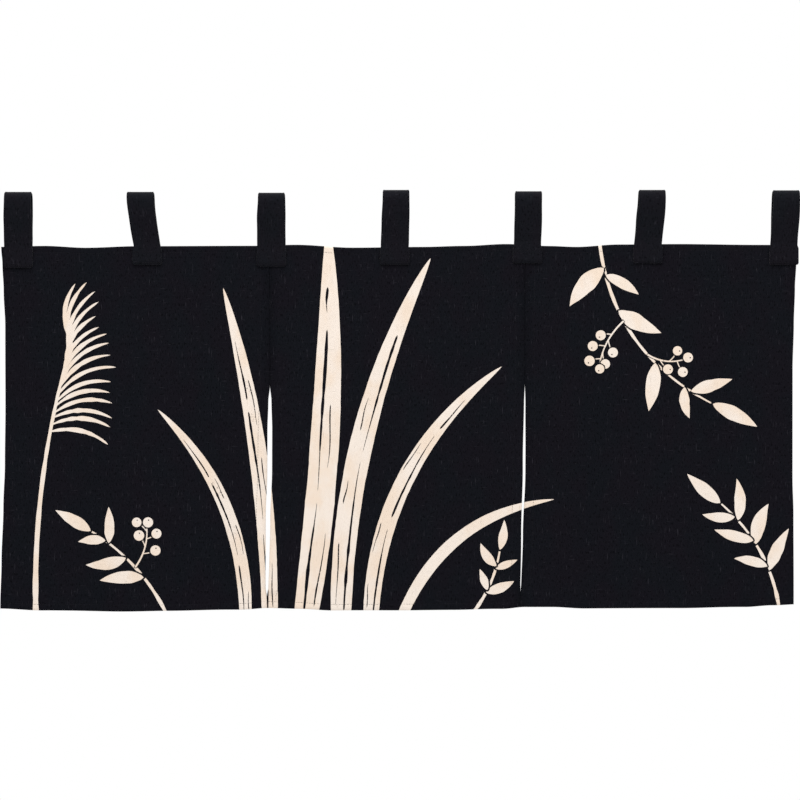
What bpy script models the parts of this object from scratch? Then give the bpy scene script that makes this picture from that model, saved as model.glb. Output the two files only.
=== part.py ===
"""Noren curtain: three hemmed cotton panels that hang from seven cloth loops.

The curtain hangs in the XZ plane with its printed face towards -Y and +Z up. The origin lies at mid-width
on the axis of the rod that the loops are made for. Sizes in the tables are in millimetres, as a maker
notes them, and MM turns them into the scene's metres.
"""

import math
from functools import partial

import bmesh
import bpy

MM = 0.001

# Driving dimensions, in millimetres
CLOTH = 1.2                # one layer of the coarse cotton
HEMMED = 2.0               # cloth with its hem turned to the back
GAP = 0.3                  # air between pieces that touch
HEADING_Z = -47.5          # level of the heading's edge below the rod axis
DROP = 388.0               # heading's edge to foot
HEADING_HEM = 6.5          # turned-in edge at the heading
FOOT_HEM = 6.5             # turned-in edge at the foot
SLIT_HEM = 10.0            # turned-in edge along a slit
HEM_STEP = 1.5             # width over which a hem's thickness fades out
TAB_LAP = 19.5             # how far a loop's ends lap the heading, front and back
TAB_WIDTH = 28.6           # a loop's width above the heading
FOOT_FLARE = 1.4           # how much wider a loop's pressed end is, at each side
FLARE_FADE = 4.0           # height above the heading where the flare is gone
LOOP_RADIUS = 10.0         # bend of the loop round the rod, to the middle of the cloth

# Panel edges by height: share of the drop, then x
LEFT_EDGE = ((0.0, -425.6), (0.05, -424.2), (0.12, -422.9), (0.22, -421.2), (0.45, -420.9),
             (0.60, -421.4), (0.72, -423.0), (0.87, -425.0), (1.0, -426.4))
RIGHT_EDGE = ((0.0, 426.4), (0.05, 425.2), (0.12, 423.8), (0.22, 422.6), (0.35, 421.2),
              (0.65, 421.0), (0.75, 422.0), (1.0, 422.3))
LEFT_SEAM = ((0.0, -138.6), (0.39, -138.0), (0.62, -138.2), (0.75, -140.0), (1.0, -141.3))
RIGHT_SEAM = ((0.0, 134.9), (0.38, 134.8), (0.62, 134.0), (0.80, 131.8), (1.0, 130.0))

# Opening of each slit by height: share of the drop, then width
LEFT_SLIT = ((0.0, GAP), (0.385, GAP), (0.43, 3.8), (0.51, 5.5), (0.76, 5.4), (0.87, 4.5),
             (0.945, 3.4), (0.968, GAP), (1.0, GAP))
RIGHT_SLIT = ((0.0, GAP), (0.375, GAP), (0.44, 1.9), (0.58, 3.2), (0.66, 3.1), (0.80, 2.2),
              (0.93, 1.3), (0.962, GAP), (1.0, GAP))

# Rise of the heading's edge and of the foot by place: x, then z above the straight line
HEADING_RISE = ((-426, -0.4), (-379, 0.6), (-335, -1.4), (-280, 0.3), (-155, 0.7), (-110, 1.8),
                (-50, -1.3), (25, -0.5), (70, 0.6), (115, 2.6), (160, 0.5), (190, -0.5),
                (235, 2.1), (300, 2.6), (385, 1.7), (426, 1.6))
FOOT_RISE = ((-426, 0.6), (-380, -1.4), (-300, -2.6), (-245, -1.8), (-170, -0.6), (-140, 1.2),
             (-110, 0.5), (-70, -1.6), (60, -0.9), (110, 0.2), (135, 2.2), (165, 2.3),
             (200, 0.5), (300, 1.2), (370, 2.2), (400, 4.2), (426, 5.2))

# Soft folds: x at the heading, half width, how far the cloth stands forward, drift of x to the foot
FOLDS = (
    (-392, 30, 3.4, -10),
    (-338, 26, -2.6, 8),
    (-262, 40, 3.0, -14),
    (-206, 24, -2.2, 6),
    (-168, 20, 2.4, 4),
    (-104, 26, 2.2, -8),
    (-52, 30, -3.2, 10),
    (16, 36, 3.8, -6),
    (78, 26, -2.4, 12),
    (112, 18, 2.0, 2),
    (168, 24, 2.6, 6),
    (226, 34, -3.0, -10),
    (296, 38, 3.6, 10),
    (352, 24, -2.4, -6),
    (400, 26, 3.0, 8),
)
FOLD_START, FOLD_FULL = 0.02, 0.75      # shares of the drop where the folds begin and are whole
SEAM_DIP, SEAM_DIP_WIDTH = 1.3, 6.5     # the sewn seams lie in a shallow valley
SEAM_DIP_START, SEAM_DIP_FULL = 0.06, 0.12
SLIT_CURL, SLIT_CURL_WIDTH = 1.6, 16.0  # the free edges lift where a slit stands open

# Loops: name, x at the heading, x at the top, level of the top
TABS = (
    ("tab_1", -407.0, -407.2, 10.9),
    ("tab_2", -269.9, -276.4, 10.9),
    ("tab_3", -136.0, -136.2, 10.0),
    ("tab_4", -4.2, -3.0, 13.0),
    ("tab_5", 137.4, 138.6, 11.6),
    ("tab_6", 267.0, 270.8, 13.0),
    ("tab_7", 412.0, 414.2, 12.6),
)

# Solid detail
COLUMN_PITCH = 17.0
ROW_PITCH = 0.052           # share of the drop
SLIT_ROWS = (0.12, 0.375, 0.43, 0.51, 0.87, 0.93, 0.962)    # rows kept where the seams and slits turn
LAP_CLEAR = 2.0             # the panels' row just below the loops' ends
SEAM_CLEAR = 14.0           # no extra column this near a panel's edge
LEG_ROWS = 4
LOOP_ROWS = 9
SHARP_ANGLE = math.radians(40)

COTTON_BLACK = (0.0085, 0.0080, 0.0115, 1.0)
TAB_BLACK = (0.0100, 0.0095, 0.0125, 1.0)


def smooth_step(low, high, value):
    """0 below low, 1 above high, and a smooth rise between."""
    t = min(max((value - low) / (high - low), 0.0), 1.0)
    return t * t * (3.0 - 2.0 * t)


def read(table, at):
    """The value of a two-column table at a place, eased between its rows."""
    if at <= table[0][0]:
        return table[0][1]
    for (a, first), (b, second) in zip(table, table[1:]):
        if at <= b:
            return first + (second - first) * smooth_step(a, b, at)
    return table[-1][1]


def fold(x, share):
    """How far back the cloth's face lies from the hanging plane: the folds, seams and slit edges."""
    fullness = smooth_step(FOLD_START, FOLD_FULL, share)
    y = 0.0
    for start, half_width, forward, drift in FOLDS:
        y -= forward * fullness * math.exp(-((x - start - drift * share) / half_width) ** 2)
    for seam, slit, side in ((LEFT_SEAM, LEFT_SLIT, 1.0), (RIGHT_SEAM, RIGHT_SLIT, -1.0)):
        away = x - read(seam, share)
        opened = smooth_step(GAP, 3.0, read(slit, share))
        sewn = smooth_step(SEAM_DIP_START, SEAM_DIP_FULL, share) * (1.0 - opened)
        y += SEAM_DIP * sewn * math.exp(-(away / SEAM_DIP_WIDTH) ** 2)
        lift = SLIT_CURL * opened * math.exp(-(away / SLIT_CURL_WIDTH) ** 2)
        y -= lift * side * math.copysign(1.0, away)
    return y


def heading_level(x):
    return HEADING_Z + read(HEADING_RISE, x)


def level(x, share):
    """The height of the cloth at a share of the drop."""
    foot = HEADING_Z - DROP + read(FOOT_RISE, x)
    return heading_level(x) + (foot - heading_level(x)) * share


def thickness(x, share, hemmed_edges):
    """The cloth's thickness: two layers where a hem is turned to the back."""
    inside = min(share * DROP - HEADING_HEM, (1.0 - share) * DROP - FOOT_HEM)
    for edge in hemmed_edges:
        inside = min(inside, abs(x - edge(share)) - SLIT_HEM)
    return HEMMED + (CLOTH - HEMMED) * smooth_step(0.0, HEM_STEP, inside)


def between(start, end, pitch):
    """Places from start to end, no further apart than pitch, without the end."""
    steps = max(1, math.ceil(abs(end - start) / pitch - 1e-6))
    return [start + (end - start) * i / steps for i in range(steps)]


def filled(places, pitch):
    """The given places in order, with more between them where they lie far apart."""
    row = []
    for start, end in zip(places, places[1:]):
        row += between(start, end, pitch)
    return row + [places[-1]]


def row_shares():
    """The panels' rows as shares of the drop, closer at the hems, the loops' ends and the slits' ends."""
    top = [0.0, HEADING_HEM, HEADING_HEM + HEM_STEP, TAB_LAP + LAP_CLEAR]
    foot = [DROP - FOOT_HEM - HEM_STEP, DROP - FOOT_HEM, DROP]
    marks = [z / DROP for z in top] + list(SLIT_ROWS) + [z / DROP for z in foot]
    return filled(marks, ROW_PITCH)


def sheet_object(name, front, back, colour):
    """A closed cloth solid from two grids of points, one for each face, with walls round the rim."""
    rows, columns = len(front), len(front[0])
    mesh = bmesh.new()
    face_points = []
    for grid in (front, back):
        face_points.append([[mesh.verts.new([c * MM for c in p]) for p in row] for row in grid])
    near, far = face_points
    for i in range(rows - 1):
        for j in range(columns - 1):
            mesh.faces.new((near[i][j], near[i + 1][j], near[i + 1][j + 1], near[i][j + 1]))
            mesh.faces.new((far[i][j], far[i][j + 1], far[i + 1][j + 1], far[i + 1][j]))
    rim = [(0, j) for j in range(columns - 1)] + [(i, columns - 1) for i in range(rows - 1)]
    rim += [(rows - 1, j) for j in range(columns - 1, 0, -1)] + [(i, 0) for i in range(rows - 1, 0, -1)]
    for (i, j), (k, m) in zip(rim, rim[1:] + rim[:1]):
        mesh.faces.new((near[i][j], near[k][m], far[k][m], far[i][j]))
    bmesh.ops.recalc_face_normals(mesh, faces=mesh.faces)
    data = bpy.data.meshes.new(name)
    mesh.to_mesh(data)
    mesh.free()
    data.shade_smooth()
    data.set_sharp_from_angle(angle=SHARP_ANGLE)
    data.materials.append(cotton(name, colour))
    made = bpy.data.objects.new(name, data)
    bpy.context.scene.collection.objects.link(made)
    return made


def cotton(name, colour):
    """Matt dyed cotton."""
    material = bpy.data.materials.new(f"{name}_cotton")
    material.use_nodes = True
    shader = material.node_tree.nodes["Principled BSDF"]
    shader.inputs["Base Color"].default_value = colour
    shader.inputs["Roughness"].default_value = 0.92
    shader.inputs["Metallic"].default_value = 0.0
    return material


def panel(name, left, right, hemmed_edges):
    """One hanging panel between two edges, each a function of the share of the drop."""
    start, end = left(0.0), right(0.0)
    marks = [start, start + SLIT_HEM, start + SLIT_HEM + HEM_STEP]
    marks += [end - SLIT_HEM - HEM_STEP, end - SLIT_HEM, end]
    for _, foot_x, _, _ in TABS:
        half = TAB_WIDTH / 2 + FOOT_FLARE
        places = (foot_x - half, foot_x, foot_x + half)
        marks += [x for x in places if start + SEAM_CLEAR < x < end - SEAM_CLEAR]
    columns = [(x - start) / (end - start) for x in filled(sorted(marks), COLUMN_PITCH)]
    front, back = [], []
    for share in row_shares():
        low, high = left(share), right(share)
        near_row, far_row = [], []
        for u in columns:
            x = low + (high - low) * u
            y, z = fold(x, share), level(x, share)
            near_row.append((x, y, z))
            far_row.append((x, y + thickness(x, share, hemmed_edges), z))
        front.append(near_row)
        back.append(far_row)
    return sheet_object(name, front, back, COTTON_BLACK)


def beside(seam, slit, side, share):
    """A panel's edge beside a seam: side is -1 for the panel on the seam's left and 1 for the right."""
    return read(seam, share) + side * read(slit, share) / 2


def tab_section(top, heading):
    """The middle line of a loop's band from its front end to its back end: y, z and the way it faces."""
    leg = (HEMMED + CLOTH) / 2 + GAP
    spread = LOOP_RADIUS - leg
    axis = top - CLOTH / 2 - LOOP_RADIUS
    front = []
    lap = between(heading - TAB_LAP, heading, TAB_LAP / 2)
    rise = between(heading, axis, (axis - heading) / LEG_ROWS)
    for z in lap + rise:
        t = min(max((z - heading) / (axis - heading), 0.0), 1.0)
        slope = 6.0 * t * (1.0 - t) * spread / (axis - heading)
        y = -(leg + spread * smooth_step(heading, axis, z))
        front.append((y, z, math.pi + math.atan(slope)))
    bend = []
    for i in range(LOOP_ROWS + 1):
        angle = math.pi - math.pi * i / LOOP_ROWS
        bend.append((LOOP_RADIUS * math.cos(angle), axis + LOOP_RADIUS * math.sin(angle), angle))
    return front + bend + [(-y, z, math.pi - facing) for y, z, facing in reversed(front)]


def tab(name, foot_x, top_x, top):
    """One hanging loop, lapped on both faces of the heading, which follows the cloth at its ends."""
    heading = heading_level(foot_x)
    outer, inner = [], []
    for y, z, facing in tab_section(top, heading):
        climb = min(max((z - heading) / (top - heading), 0.0), 1.0)
        middle = foot_x + (top_x - foot_x) * math.sin(math.pi / 2 * climb)
        flare = FOOT_FLARE * (1.0 - smooth_step(heading, heading + FLARE_FADE, z))
        half = TAB_WIDTH / 2 + flare
        out_row, in_row = [], []
        for side in (-1.0, 0.0, 1.0):
            x = middle + side * half
            hang = HEMMED / 2 + fold(x, max(0.0, (heading_level(x) - z) / DROP))
            hang *= 1.0 - smooth_step(heading, top - LOOP_RADIUS, z)
            dy, dz = CLOTH / 2 * math.cos(facing), CLOTH / 2 * math.sin(facing)
            out_row.append((x, y + hang + dy, z + dz))
            in_row.append((x, y + hang - dy, z - dz))
        outer.append(out_row)
        inner.append(in_row)
    return sheet_object(name, outer, inner, TAB_BLACK)


def clear_scene():
    for old in list(bpy.data.objects):
        bpy.data.objects.remove(old)


def main():
    clear_scene()
    left_inner = partial(beside, LEFT_SEAM, LEFT_SLIT, -1)
    centre_left = partial(beside, LEFT_SEAM, LEFT_SLIT, 1)
    centre_right = partial(beside, RIGHT_SEAM, RIGHT_SLIT, -1)
    right_inner = partial(beside, RIGHT_SEAM, RIGHT_SLIT, 1)
    panel("panel_left", partial(read, LEFT_EDGE), left_inner, [left_inner])
    panel("panel_centre", centre_left, centre_right, [centre_left, centre_right])
    panel("panel_right", right_inner, partial(read, RIGHT_EDGE), [right_inner])
    for name, foot_x, top_x, top in TABS:
        tab(name, foot_x, top_x, top)


main()
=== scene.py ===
"""Looks of a noren curtain: printed cotton panels, hanging loops and their stitching.

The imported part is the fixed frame. Each panel and loop is a fine sheet of cloth on its solid's own folds,
from the same sizes as the part's source, and every size in the tables is in millimetres. The curtain hangs
in the XZ plane, its printed face looks along -Y, and the rod's axis runs through the origin along X.
"""

from __future__ import annotations

import logging
import math
from collections.abc import Iterable, Sequence
from dataclasses import dataclass, field
from enum import Enum

import bmesh
import bpy
import numpy as np
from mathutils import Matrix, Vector
from mathutils.geometry import delaunay_2d_cdt

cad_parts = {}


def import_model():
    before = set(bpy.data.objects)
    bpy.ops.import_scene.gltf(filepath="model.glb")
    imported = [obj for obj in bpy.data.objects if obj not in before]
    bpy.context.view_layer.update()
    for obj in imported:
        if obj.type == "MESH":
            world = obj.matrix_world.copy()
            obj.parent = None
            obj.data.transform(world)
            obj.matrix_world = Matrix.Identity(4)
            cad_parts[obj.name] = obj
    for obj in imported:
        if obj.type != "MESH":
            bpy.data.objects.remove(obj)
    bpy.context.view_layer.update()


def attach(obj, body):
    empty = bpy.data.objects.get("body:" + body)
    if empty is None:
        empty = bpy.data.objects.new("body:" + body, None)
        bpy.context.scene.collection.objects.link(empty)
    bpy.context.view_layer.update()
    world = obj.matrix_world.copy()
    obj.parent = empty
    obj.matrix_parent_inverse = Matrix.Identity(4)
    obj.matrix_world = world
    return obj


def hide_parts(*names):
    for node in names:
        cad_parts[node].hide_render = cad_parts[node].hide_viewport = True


LOG = logging.getLogger("noren")
MM = 0.001
Table = Sequence[Sequence[float]]
Colour = tuple[float, float, float, float]
BLACK, WHITE = (0.0, 0.0, 0.0, 1.0), (1.0, 1.0, 1.0, 1.0)

# Sizes that the part's source also holds
CLOTH = 1.2                 # one layer of the coarse cotton
HEMMED = 2.0                # cloth with its hem turned to the back
GAP = 0.3                   # air between the solids of pieces that touch
HEADING_Z = -47.5           # level of the heading's edge below the rod axis
DROP = 388.0                # heading's edge to foot
HEADING_HEM = 6.5
FOOT_HEM = 6.5
SLIT_HEM = 10.0
HEM_STEP = 1.5              # width over which a hem's thickness fades out
TAB_WIDTH = 28.6            # a loop's width above the heading
FOOT_FLARE = 1.4            # how much wider a loop's pressed end is, at each side
FLARE_FADE = 4.0            # height over which the flare fades out
LOOP_RADIUS = 10.0          # bend of a loop round the rod, to the middle of the cloth

# Panel edges by height: share of the drop, then x
LEFT_EDGE = ((0.0, -425.6), (0.05, -424.2), (0.12, -422.9), (0.22, -421.2), (0.45, -420.9),
             (0.60, -421.4), (0.72, -423.0), (0.87, -425.0), (1.0, -426.4))
RIGHT_EDGE = ((0.0, 426.4), (0.05, 425.2), (0.12, 423.8), (0.22, 422.6), (0.35, 421.2),
              (0.65, 421.0), (0.75, 422.0), (1.0, 422.3))
LEFT_SEAM = ((0.0, -138.6), (0.39, -138.0), (0.62, -138.2), (0.75, -140.0), (1.0, -141.3))
RIGHT_SEAM = ((0.0, 134.9), (0.38, 134.8), (0.62, 134.0), (0.80, 131.8), (1.0, 130.0))

# Opening of each slit by height: share of the drop, then width
LEFT_SLIT = ((0.0, GAP), (0.385, GAP), (0.43, 3.8), (0.51, 5.5), (0.76, 5.4), (0.87, 4.5),
             (0.945, 3.4), (0.968, GAP), (1.0, GAP))
RIGHT_SLIT = ((0.0, GAP), (0.375, GAP), (0.44, 1.9), (0.58, 3.2), (0.66, 3.1), (0.80, 2.2),
              (0.93, 1.3), (0.962, GAP), (1.0, GAP))

# Rise of the heading's edge and of the foot by place: x, then z above the straight line
HEADING_RISE = ((-426, -0.4), (-379, 0.6), (-335, -1.4), (-280, 0.3), (-155, 0.7), (-110, 1.8),
                (-50, -1.3), (25, -0.5), (70, 0.6), (115, 2.6), (160, 0.5), (190, -0.5),
                (235, 2.1), (300, 2.6), (385, 1.7), (426, 1.6))
FOOT_RISE = ((-426, 0.6), (-380, -1.4), (-300, -2.6), (-245, -1.8), (-170, -0.6), (-140, 1.2),
             (-110, 0.5), (-70, -1.6), (60, -0.9), (110, 0.2), (135, 2.2), (165, 2.3),
             (200, 0.5), (300, 1.2), (370, 2.2), (400, 4.2), (426, 5.2))

# Soft folds: x at the heading, half width, how far the cloth stands forward, drift of x to the foot
FOLDS = (
    (-392, 30, 3.4, -10),
    (-338, 26, -2.6, 8),
    (-262, 40, 3.0, -14),
    (-206, 24, -2.2, 6),
    (-168, 20, 2.4, 4),
    (-104, 26, 2.2, -8),
    (-52, 30, -3.2, 10),
    (16, 36, 3.8, -6),
    (78, 26, -2.4, 12),
    (112, 18, 2.0, 2),
    (168, 24, 2.6, 6),
    (226, 34, -3.0, -10),
    (296, 38, 3.6, 10),
    (352, 24, -2.4, -6),
    (400, 26, 3.0, 8),
)
FOLD_START, FOLD_FULL = 0.02, 0.75      # shares of the drop where the folds begin and are whole
SEAM_DIP, SEAM_DIP_WIDTH = 1.3, 6.5     # the sewn seams lie in a shallow valley
SEAM_DIP_START, SEAM_DIP_FULL = 0.06, 0.12
SLIT_CURL, SLIT_CURL_WIDTH = 1.6, 16.0  # the free edges lift where a slit stands open
SLIT_OPEN = 3.0                         # a slit of this width counts as fully open

# Loops: name, node, x at the heading, x at the top, level of the top, height of a crease over the heading,
# the extra half width and the shift of the middle in the lower part, and how far its ends lap the heading
LOOPS = (
    ("loop_1", "tab_1", -407.0, -407.2, 10.9, 9.0, 0.80, -0.27, 23.0),
    ("loop_2", "tab_2", -269.9, -276.4, 10.9, 30.0, 0.00, 0.50, 20.0),
    ("loop_3", "tab_3", -136.0, -136.2, 10.0, 5.0, 0.90, -0.48, 22.6),
    ("loop_4", "tab_4", -4.2, -3.0, 13.0, 38.0, 0.72, -0.24, 18.8),
    ("loop_5", "tab_5", 137.4, 138.6, 11.6, 12.0, 0.20, 0.20, 19.5),
    ("loop_6", "tab_6", 267.0, 270.8, 13.0, 14.0, 0.48, -0.48, 20.3),
    ("loop_7", "tab_7", 412.0, 414.2, 12.6, 42.0, 0.13, -0.02, 21.4),
)
EASE_LOW, EASE_HIGH = -20.0, 2.0        # levels between which the extra width fades out

# Fine form that only the looks have
EDGE_ROUND = 0.25           # how far a panel's rim is rounded
RIM_CLEAR = 0.35            # no loose point this near a panel's rim
SEAM_TOUCH = 0.05           # how far sewn panels press into each other
GRID_PITCH = 6.0            # pitch of a panel's loose points
EDGE_PITCH = 4.0            # pitch of the points round its rim
PANEL_WIDTH = 280.0         # about the width of a panel, for the count of those points
ROW_PITCH = 3.4             # pitch along a hem's rows of points
HEM_RISE = 0.12             # a hem stands proud of the face
HEM_ROLL, HEM_ROLL_WIDTH = 0.6, 0.9     # the face turns back at a folded edge
GROOVE, GROOVE_WIDTH = 0.22, 0.8        # a stitch line sinks into the cloth
PUCKER, PUCKER_PITCH, PUCKER_REACH = 0.09, 11.0, 9.0
PUCKER_DRIFT, PUCKER_DRIFT_LENGTH = 2.0, 37.0   # the puckers' pitch varies along the hem
RIPPLE = 0.16               # faint unevenness of the whole face, the product of two waves
RIPPLE_ACROSS = (9.5, 23.0)     # their lengths across the cloth, divided by 2 pi
RIPPLE_DOWN = (4.0, 31.0)       # how far they turn over the drop, in radians
THREAD_WANDER = 0.25        # how far a stitch line strays
LAP_SHADE, LAP_SHADE_HEIGHT = 1.4, 2.6  # shade on a panel under a loop's sewn end
LAP_SHADE_LOW = 0.8         # how far under the end it is deepest
LAP_SHADE_SIDES = (-1.5, 2.5)           # it fades out between these, from the loop's sides
END_SHADE, END_SHADE_REACH = 1.9, 7.0   # shade on the loop's end itself
SHARP_PANEL, SHARP_LOOP = math.radians(50), math.radians(55)
SAME_POINT = 1e-4           # points nearer than this become one
LEAST_AREA = 1e-5           # twice the area of the smallest triangle that is kept

# The print's drawing
RING_INSIDE = 0.9           # ring of points inside a motif's outline
RING_KEEP = 0.8             # share of its distance that a ring point must keep from the outline
HALO = 1.7                  # dark gap round a shape that lies in front
FINE_HALO = 0.8             # the same round a thin stem
FIELD_LIMIT = 2.4           # greatest distance that the field holds
EDGE_BIAS = 0.14            # added on the side of the edge where a face lies
PRINT_SEED = 41
ROOT_Z = -446.0             # level below the foot where the plants start
LEAF_STEPS = 23
LEAF_BEND, LEAF_UNEVEN = 0.09, 0.07
LEAF_SHOULDER, LEAF_FULLNESS = 0.8, 0.9


def smooth(low: float, high: float, value: np.ndarray | float) -> np.ndarray:
    """0 below low, 1 above high, and a smooth rise between.

    Args:
        low: Where the rise starts.
        high: Where the rise ends.
        value: One place or an array of places.

    Returns:
        The share of the rise at each place.
    """
    t = np.clip((np.asarray(value, float) - low) / (high - low), 0.0, 1.0)
    return t * t * (3.0 - 2.0 * t)


def read(table: Table, at: np.ndarray | float) -> np.ndarray:
    """Reads a two-column table, eased between its rows.

    Args:
        table: Rows of a place and the value there.
        at: The places to read.

    Returns:
        The value at each place.
    """
    rows = np.asarray(table, float)
    at = np.asarray(at, float)
    i = np.clip(np.searchsorted(rows[:, 0], at) - 1, 0, len(rows) - 2)
    t = smooth(0.0, 1.0, (at - rows[i, 0]) / (rows[i + 1, 0] - rows[i, 0]))
    return rows[i, 1] + (rows[i + 1, 1] - rows[i, 1]) * t


def heading(x: np.ndarray | float) -> np.ndarray:
    """The level of the heading's edge at x."""
    return HEADING_Z + read(HEADING_RISE, x)


def foot(x: np.ndarray | float) -> np.ndarray:
    """The level of the foot at x."""
    return HEADING_Z - DROP + read(FOOT_RISE, x)


def hung(x: np.ndarray, share: np.ndarray | float) -> np.ndarray:
    """Points of the hanging plane, x and z, at shares of the drop."""
    return np.stack([x, heading(x) + (foot(x) - heading(x)) * share], axis=1)


def share_at(x: np.ndarray, z: np.ndarray) -> np.ndarray:
    """The share of the drop at a point of the hanging plane."""
    return np.clip((heading(x) - z) / (heading(x) - foot(x)), 0.0, 1.0)


def fold(x: np.ndarray, share: np.ndarray) -> np.ndarray:
    """How far back the cloth's face lies from the hanging plane.

    Args:
        x: Places across the curtain.
        share: Shares of the drop.

    Returns:
        The depth from the soft folds, the sewn seams and the free edges of the slits.
    """
    fullness = smooth(FOLD_START, FOLD_FULL, share)
    y = np.zeros_like(np.asarray(x, float))
    for start, half_width, forward, drift in FOLDS:
        y = y - forward * fullness * np.exp(-((x - start - drift * share) / half_width) ** 2)
    for seam, slit, side in ((LEFT_SEAM, LEFT_SLIT, 1.0), (RIGHT_SEAM, RIGHT_SLIT, -1.0)):
        away = x - read(seam, share)
        opened = smooth(GAP, SLIT_OPEN, read(slit, share))
        sewn = smooth(SEAM_DIP_START, SEAM_DIP_FULL, share) * (1.0 - opened)
        y = y + SEAM_DIP * sewn * np.exp(-((away / SEAM_DIP_WIDTH) ** 2))
        lift = SLIT_CURL * opened * np.exp(-((away / SLIT_CURL_WIDTH) ** 2))
        y = y - lift * side * np.where(away < 0, -1.0, 1.0)
    return y


def seam_shade(x: np.ndarray, share: np.ndarray) -> np.ndarray:
    """How deep each place lies in a sewn seam's valley, from 0 to 1, as the weight of the painted shade
    there.

    Args:
        x: Places across the curtain.
        share: Shares of the drop.

    Returns:
        The depth at each place.
    """
    deep = np.zeros(len(x))
    for seam, slit in ((LEFT_SEAM, LEFT_SLIT), (RIGHT_SEAM, RIGHT_SLIT)):
        away = x - read(seam, share)
        sewn = 1.0 - smooth(GAP, SLIT_OPEN, read(slit, share))
        deep = np.maximum(deep, sewn * np.exp(-((away / SEAM_DIP_WIDTH) ** 4)))
    return deep


def lap_shade(x: np.ndarray, z: np.ndarray) -> np.ndarray:
    """How deep each place lies in the shade under a loop's sewn end, from 0 to 1.

    Args:
        x: Places across the curtain.
        z: Their levels.

    Returns:
        The depth at each place.
    """
    deep = np.zeros(len(x))
    half = TAB_WIDTH / 2
    for _, _, foot_x, *_, lap in LOOPS:
        below = float(heading(foot_x)) - lap - z
        beside = smooth(half + LAP_SHADE_SIDES[0], half + LAP_SHADE_SIDES[1], np.abs(x - foot_x))
        fade = np.exp(-(((below - LAP_SHADE_LOW) / LAP_SHADE_HEIGHT) ** 2))
        deep = np.maximum(deep, (1.0 - beside) * fade)
    return deep


@dataclass(frozen=True)
class Edge:
    """One side of a panel: an outer edge, or an edge beside a seam and its slit.

    Attributes:
        line: The table of the edge or of the seam.
        slit: The table of the slit's width, or None on an outer edge.
        side: -1 where the panel is on the seam's left, and 1 where it is on the right.
    """

    line: Table
    slit: Table | None = None
    side: float = 0.0

    def at(self, share: np.ndarray | float) -> np.ndarray:
        """The edge's x at a share of the drop. Sewn edges touch, where the solids keep a gap.

        Args:
            share: Shares of the drop.

        Returns:
            x at each share.
        """
        x = read(self.line, share)
        if self.slit is None:
            return x
        return x + self.side * (read(self.slit, share) - GAP) / 2


class Face(Enum):
    """The two faces of a cloth."""

    PRINTED = -1.0
    REVERSE = 1.0


# Drawing of the print


def bow_line(start: Sequence[float], end: Sequence[float], bow: float, count: int) -> np.ndarray:
    """Points along a smooth arc.

    Args:
        start: The first point.
        end: The last point.
        bow: How far the middle stands to the right of the way from start to end.
        count: The number of points.

    Returns:
        The points, one row each.
    """
    a, b = np.asarray(start, float), np.asarray(end, float)
    way = b - a
    right = np.array([way[1], -way[0]]) / np.hypot(*way)
    middle = (a + b) / 2 + right * bow * 2.0
    t = np.linspace(0.0, 1.0, count)[:, None]
    return a * (1 - t) ** 2 + 2 * middle * t * (1 - t) + b * t**2


def sideways(line: np.ndarray) -> np.ndarray:
    """Unit vectors to the right of a line at each of its points.

    Args:
        line: Its points.

    Returns:
        One vector for each point.
    """
    along = np.gradient(line, axis=0)
    along /= np.hypot(along[:, 0], along[:, 1])[:, None]
    return np.stack([along[:, 1], -along[:, 0]], axis=1)


def stroke(line: np.ndarray, half: np.ndarray) -> np.ndarray:
    """The outline of a brush stroke along a line.

    Args:
        line: Points along the stroke's middle.
        half: Half the stroke's width at each point. A zero at an end makes a point.

    Returns:
        The closed outline, without a repeated point.
    """
    side = sideways(line) * half[:, None]
    left, right = line + side, (line - side)[::-1]
    return np.concatenate([left, right[1 if half[-1] == 0 else 0:len(right) - (half[0] == 0)]])


def in_outline(points: np.ndarray, outline: np.ndarray) -> np.ndarray:
    """Tells which points lie inside a closed outline.

    Args:
        points: The points to test.
        outline: The outline's points in order.

    Returns:
        One truth value for each point.
    """
    a, b = outline[None], np.roll(outline, -1, axis=0)[None]
    p = points[:, None]
    crosses = (a[..., 1] > p[..., 1]) != (b[..., 1] > p[..., 1])
    rise = np.where(a[..., 1] == b[..., 1], 1.0, b[..., 1] - a[..., 1])
    at = a[..., 0] + (p[..., 1] - a[..., 1]) * (b[..., 0] - a[..., 0]) / rise
    return (crosses & (p[..., 0] < at)).sum(1) % 2 == 1


def outward(outline: np.ndarray) -> np.ndarray:
    """The outward direction at each point of an outline that runs anticlockwise.

    Args:
        outline: Its points.

    Returns:
        One unit vector for each point.
    """
    along = np.roll(outline, -1, axis=0) - np.roll(outline, 1, axis=0)
    along /= np.maximum(np.hypot(along[:, 0], along[:, 1]), 1e-9)[:, None]
    return np.stack([along[:, 1], -along[:, 0]], axis=1)


def signed_area(outline: np.ndarray) -> float:
    """The outline's area, negative where it runs clockwise."""
    after = np.roll(outline, -1, axis=0)
    return float((outline[:, 0] * after[:, 1] - outline[:, 1] * after[:, 0]).sum() / 2)


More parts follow.
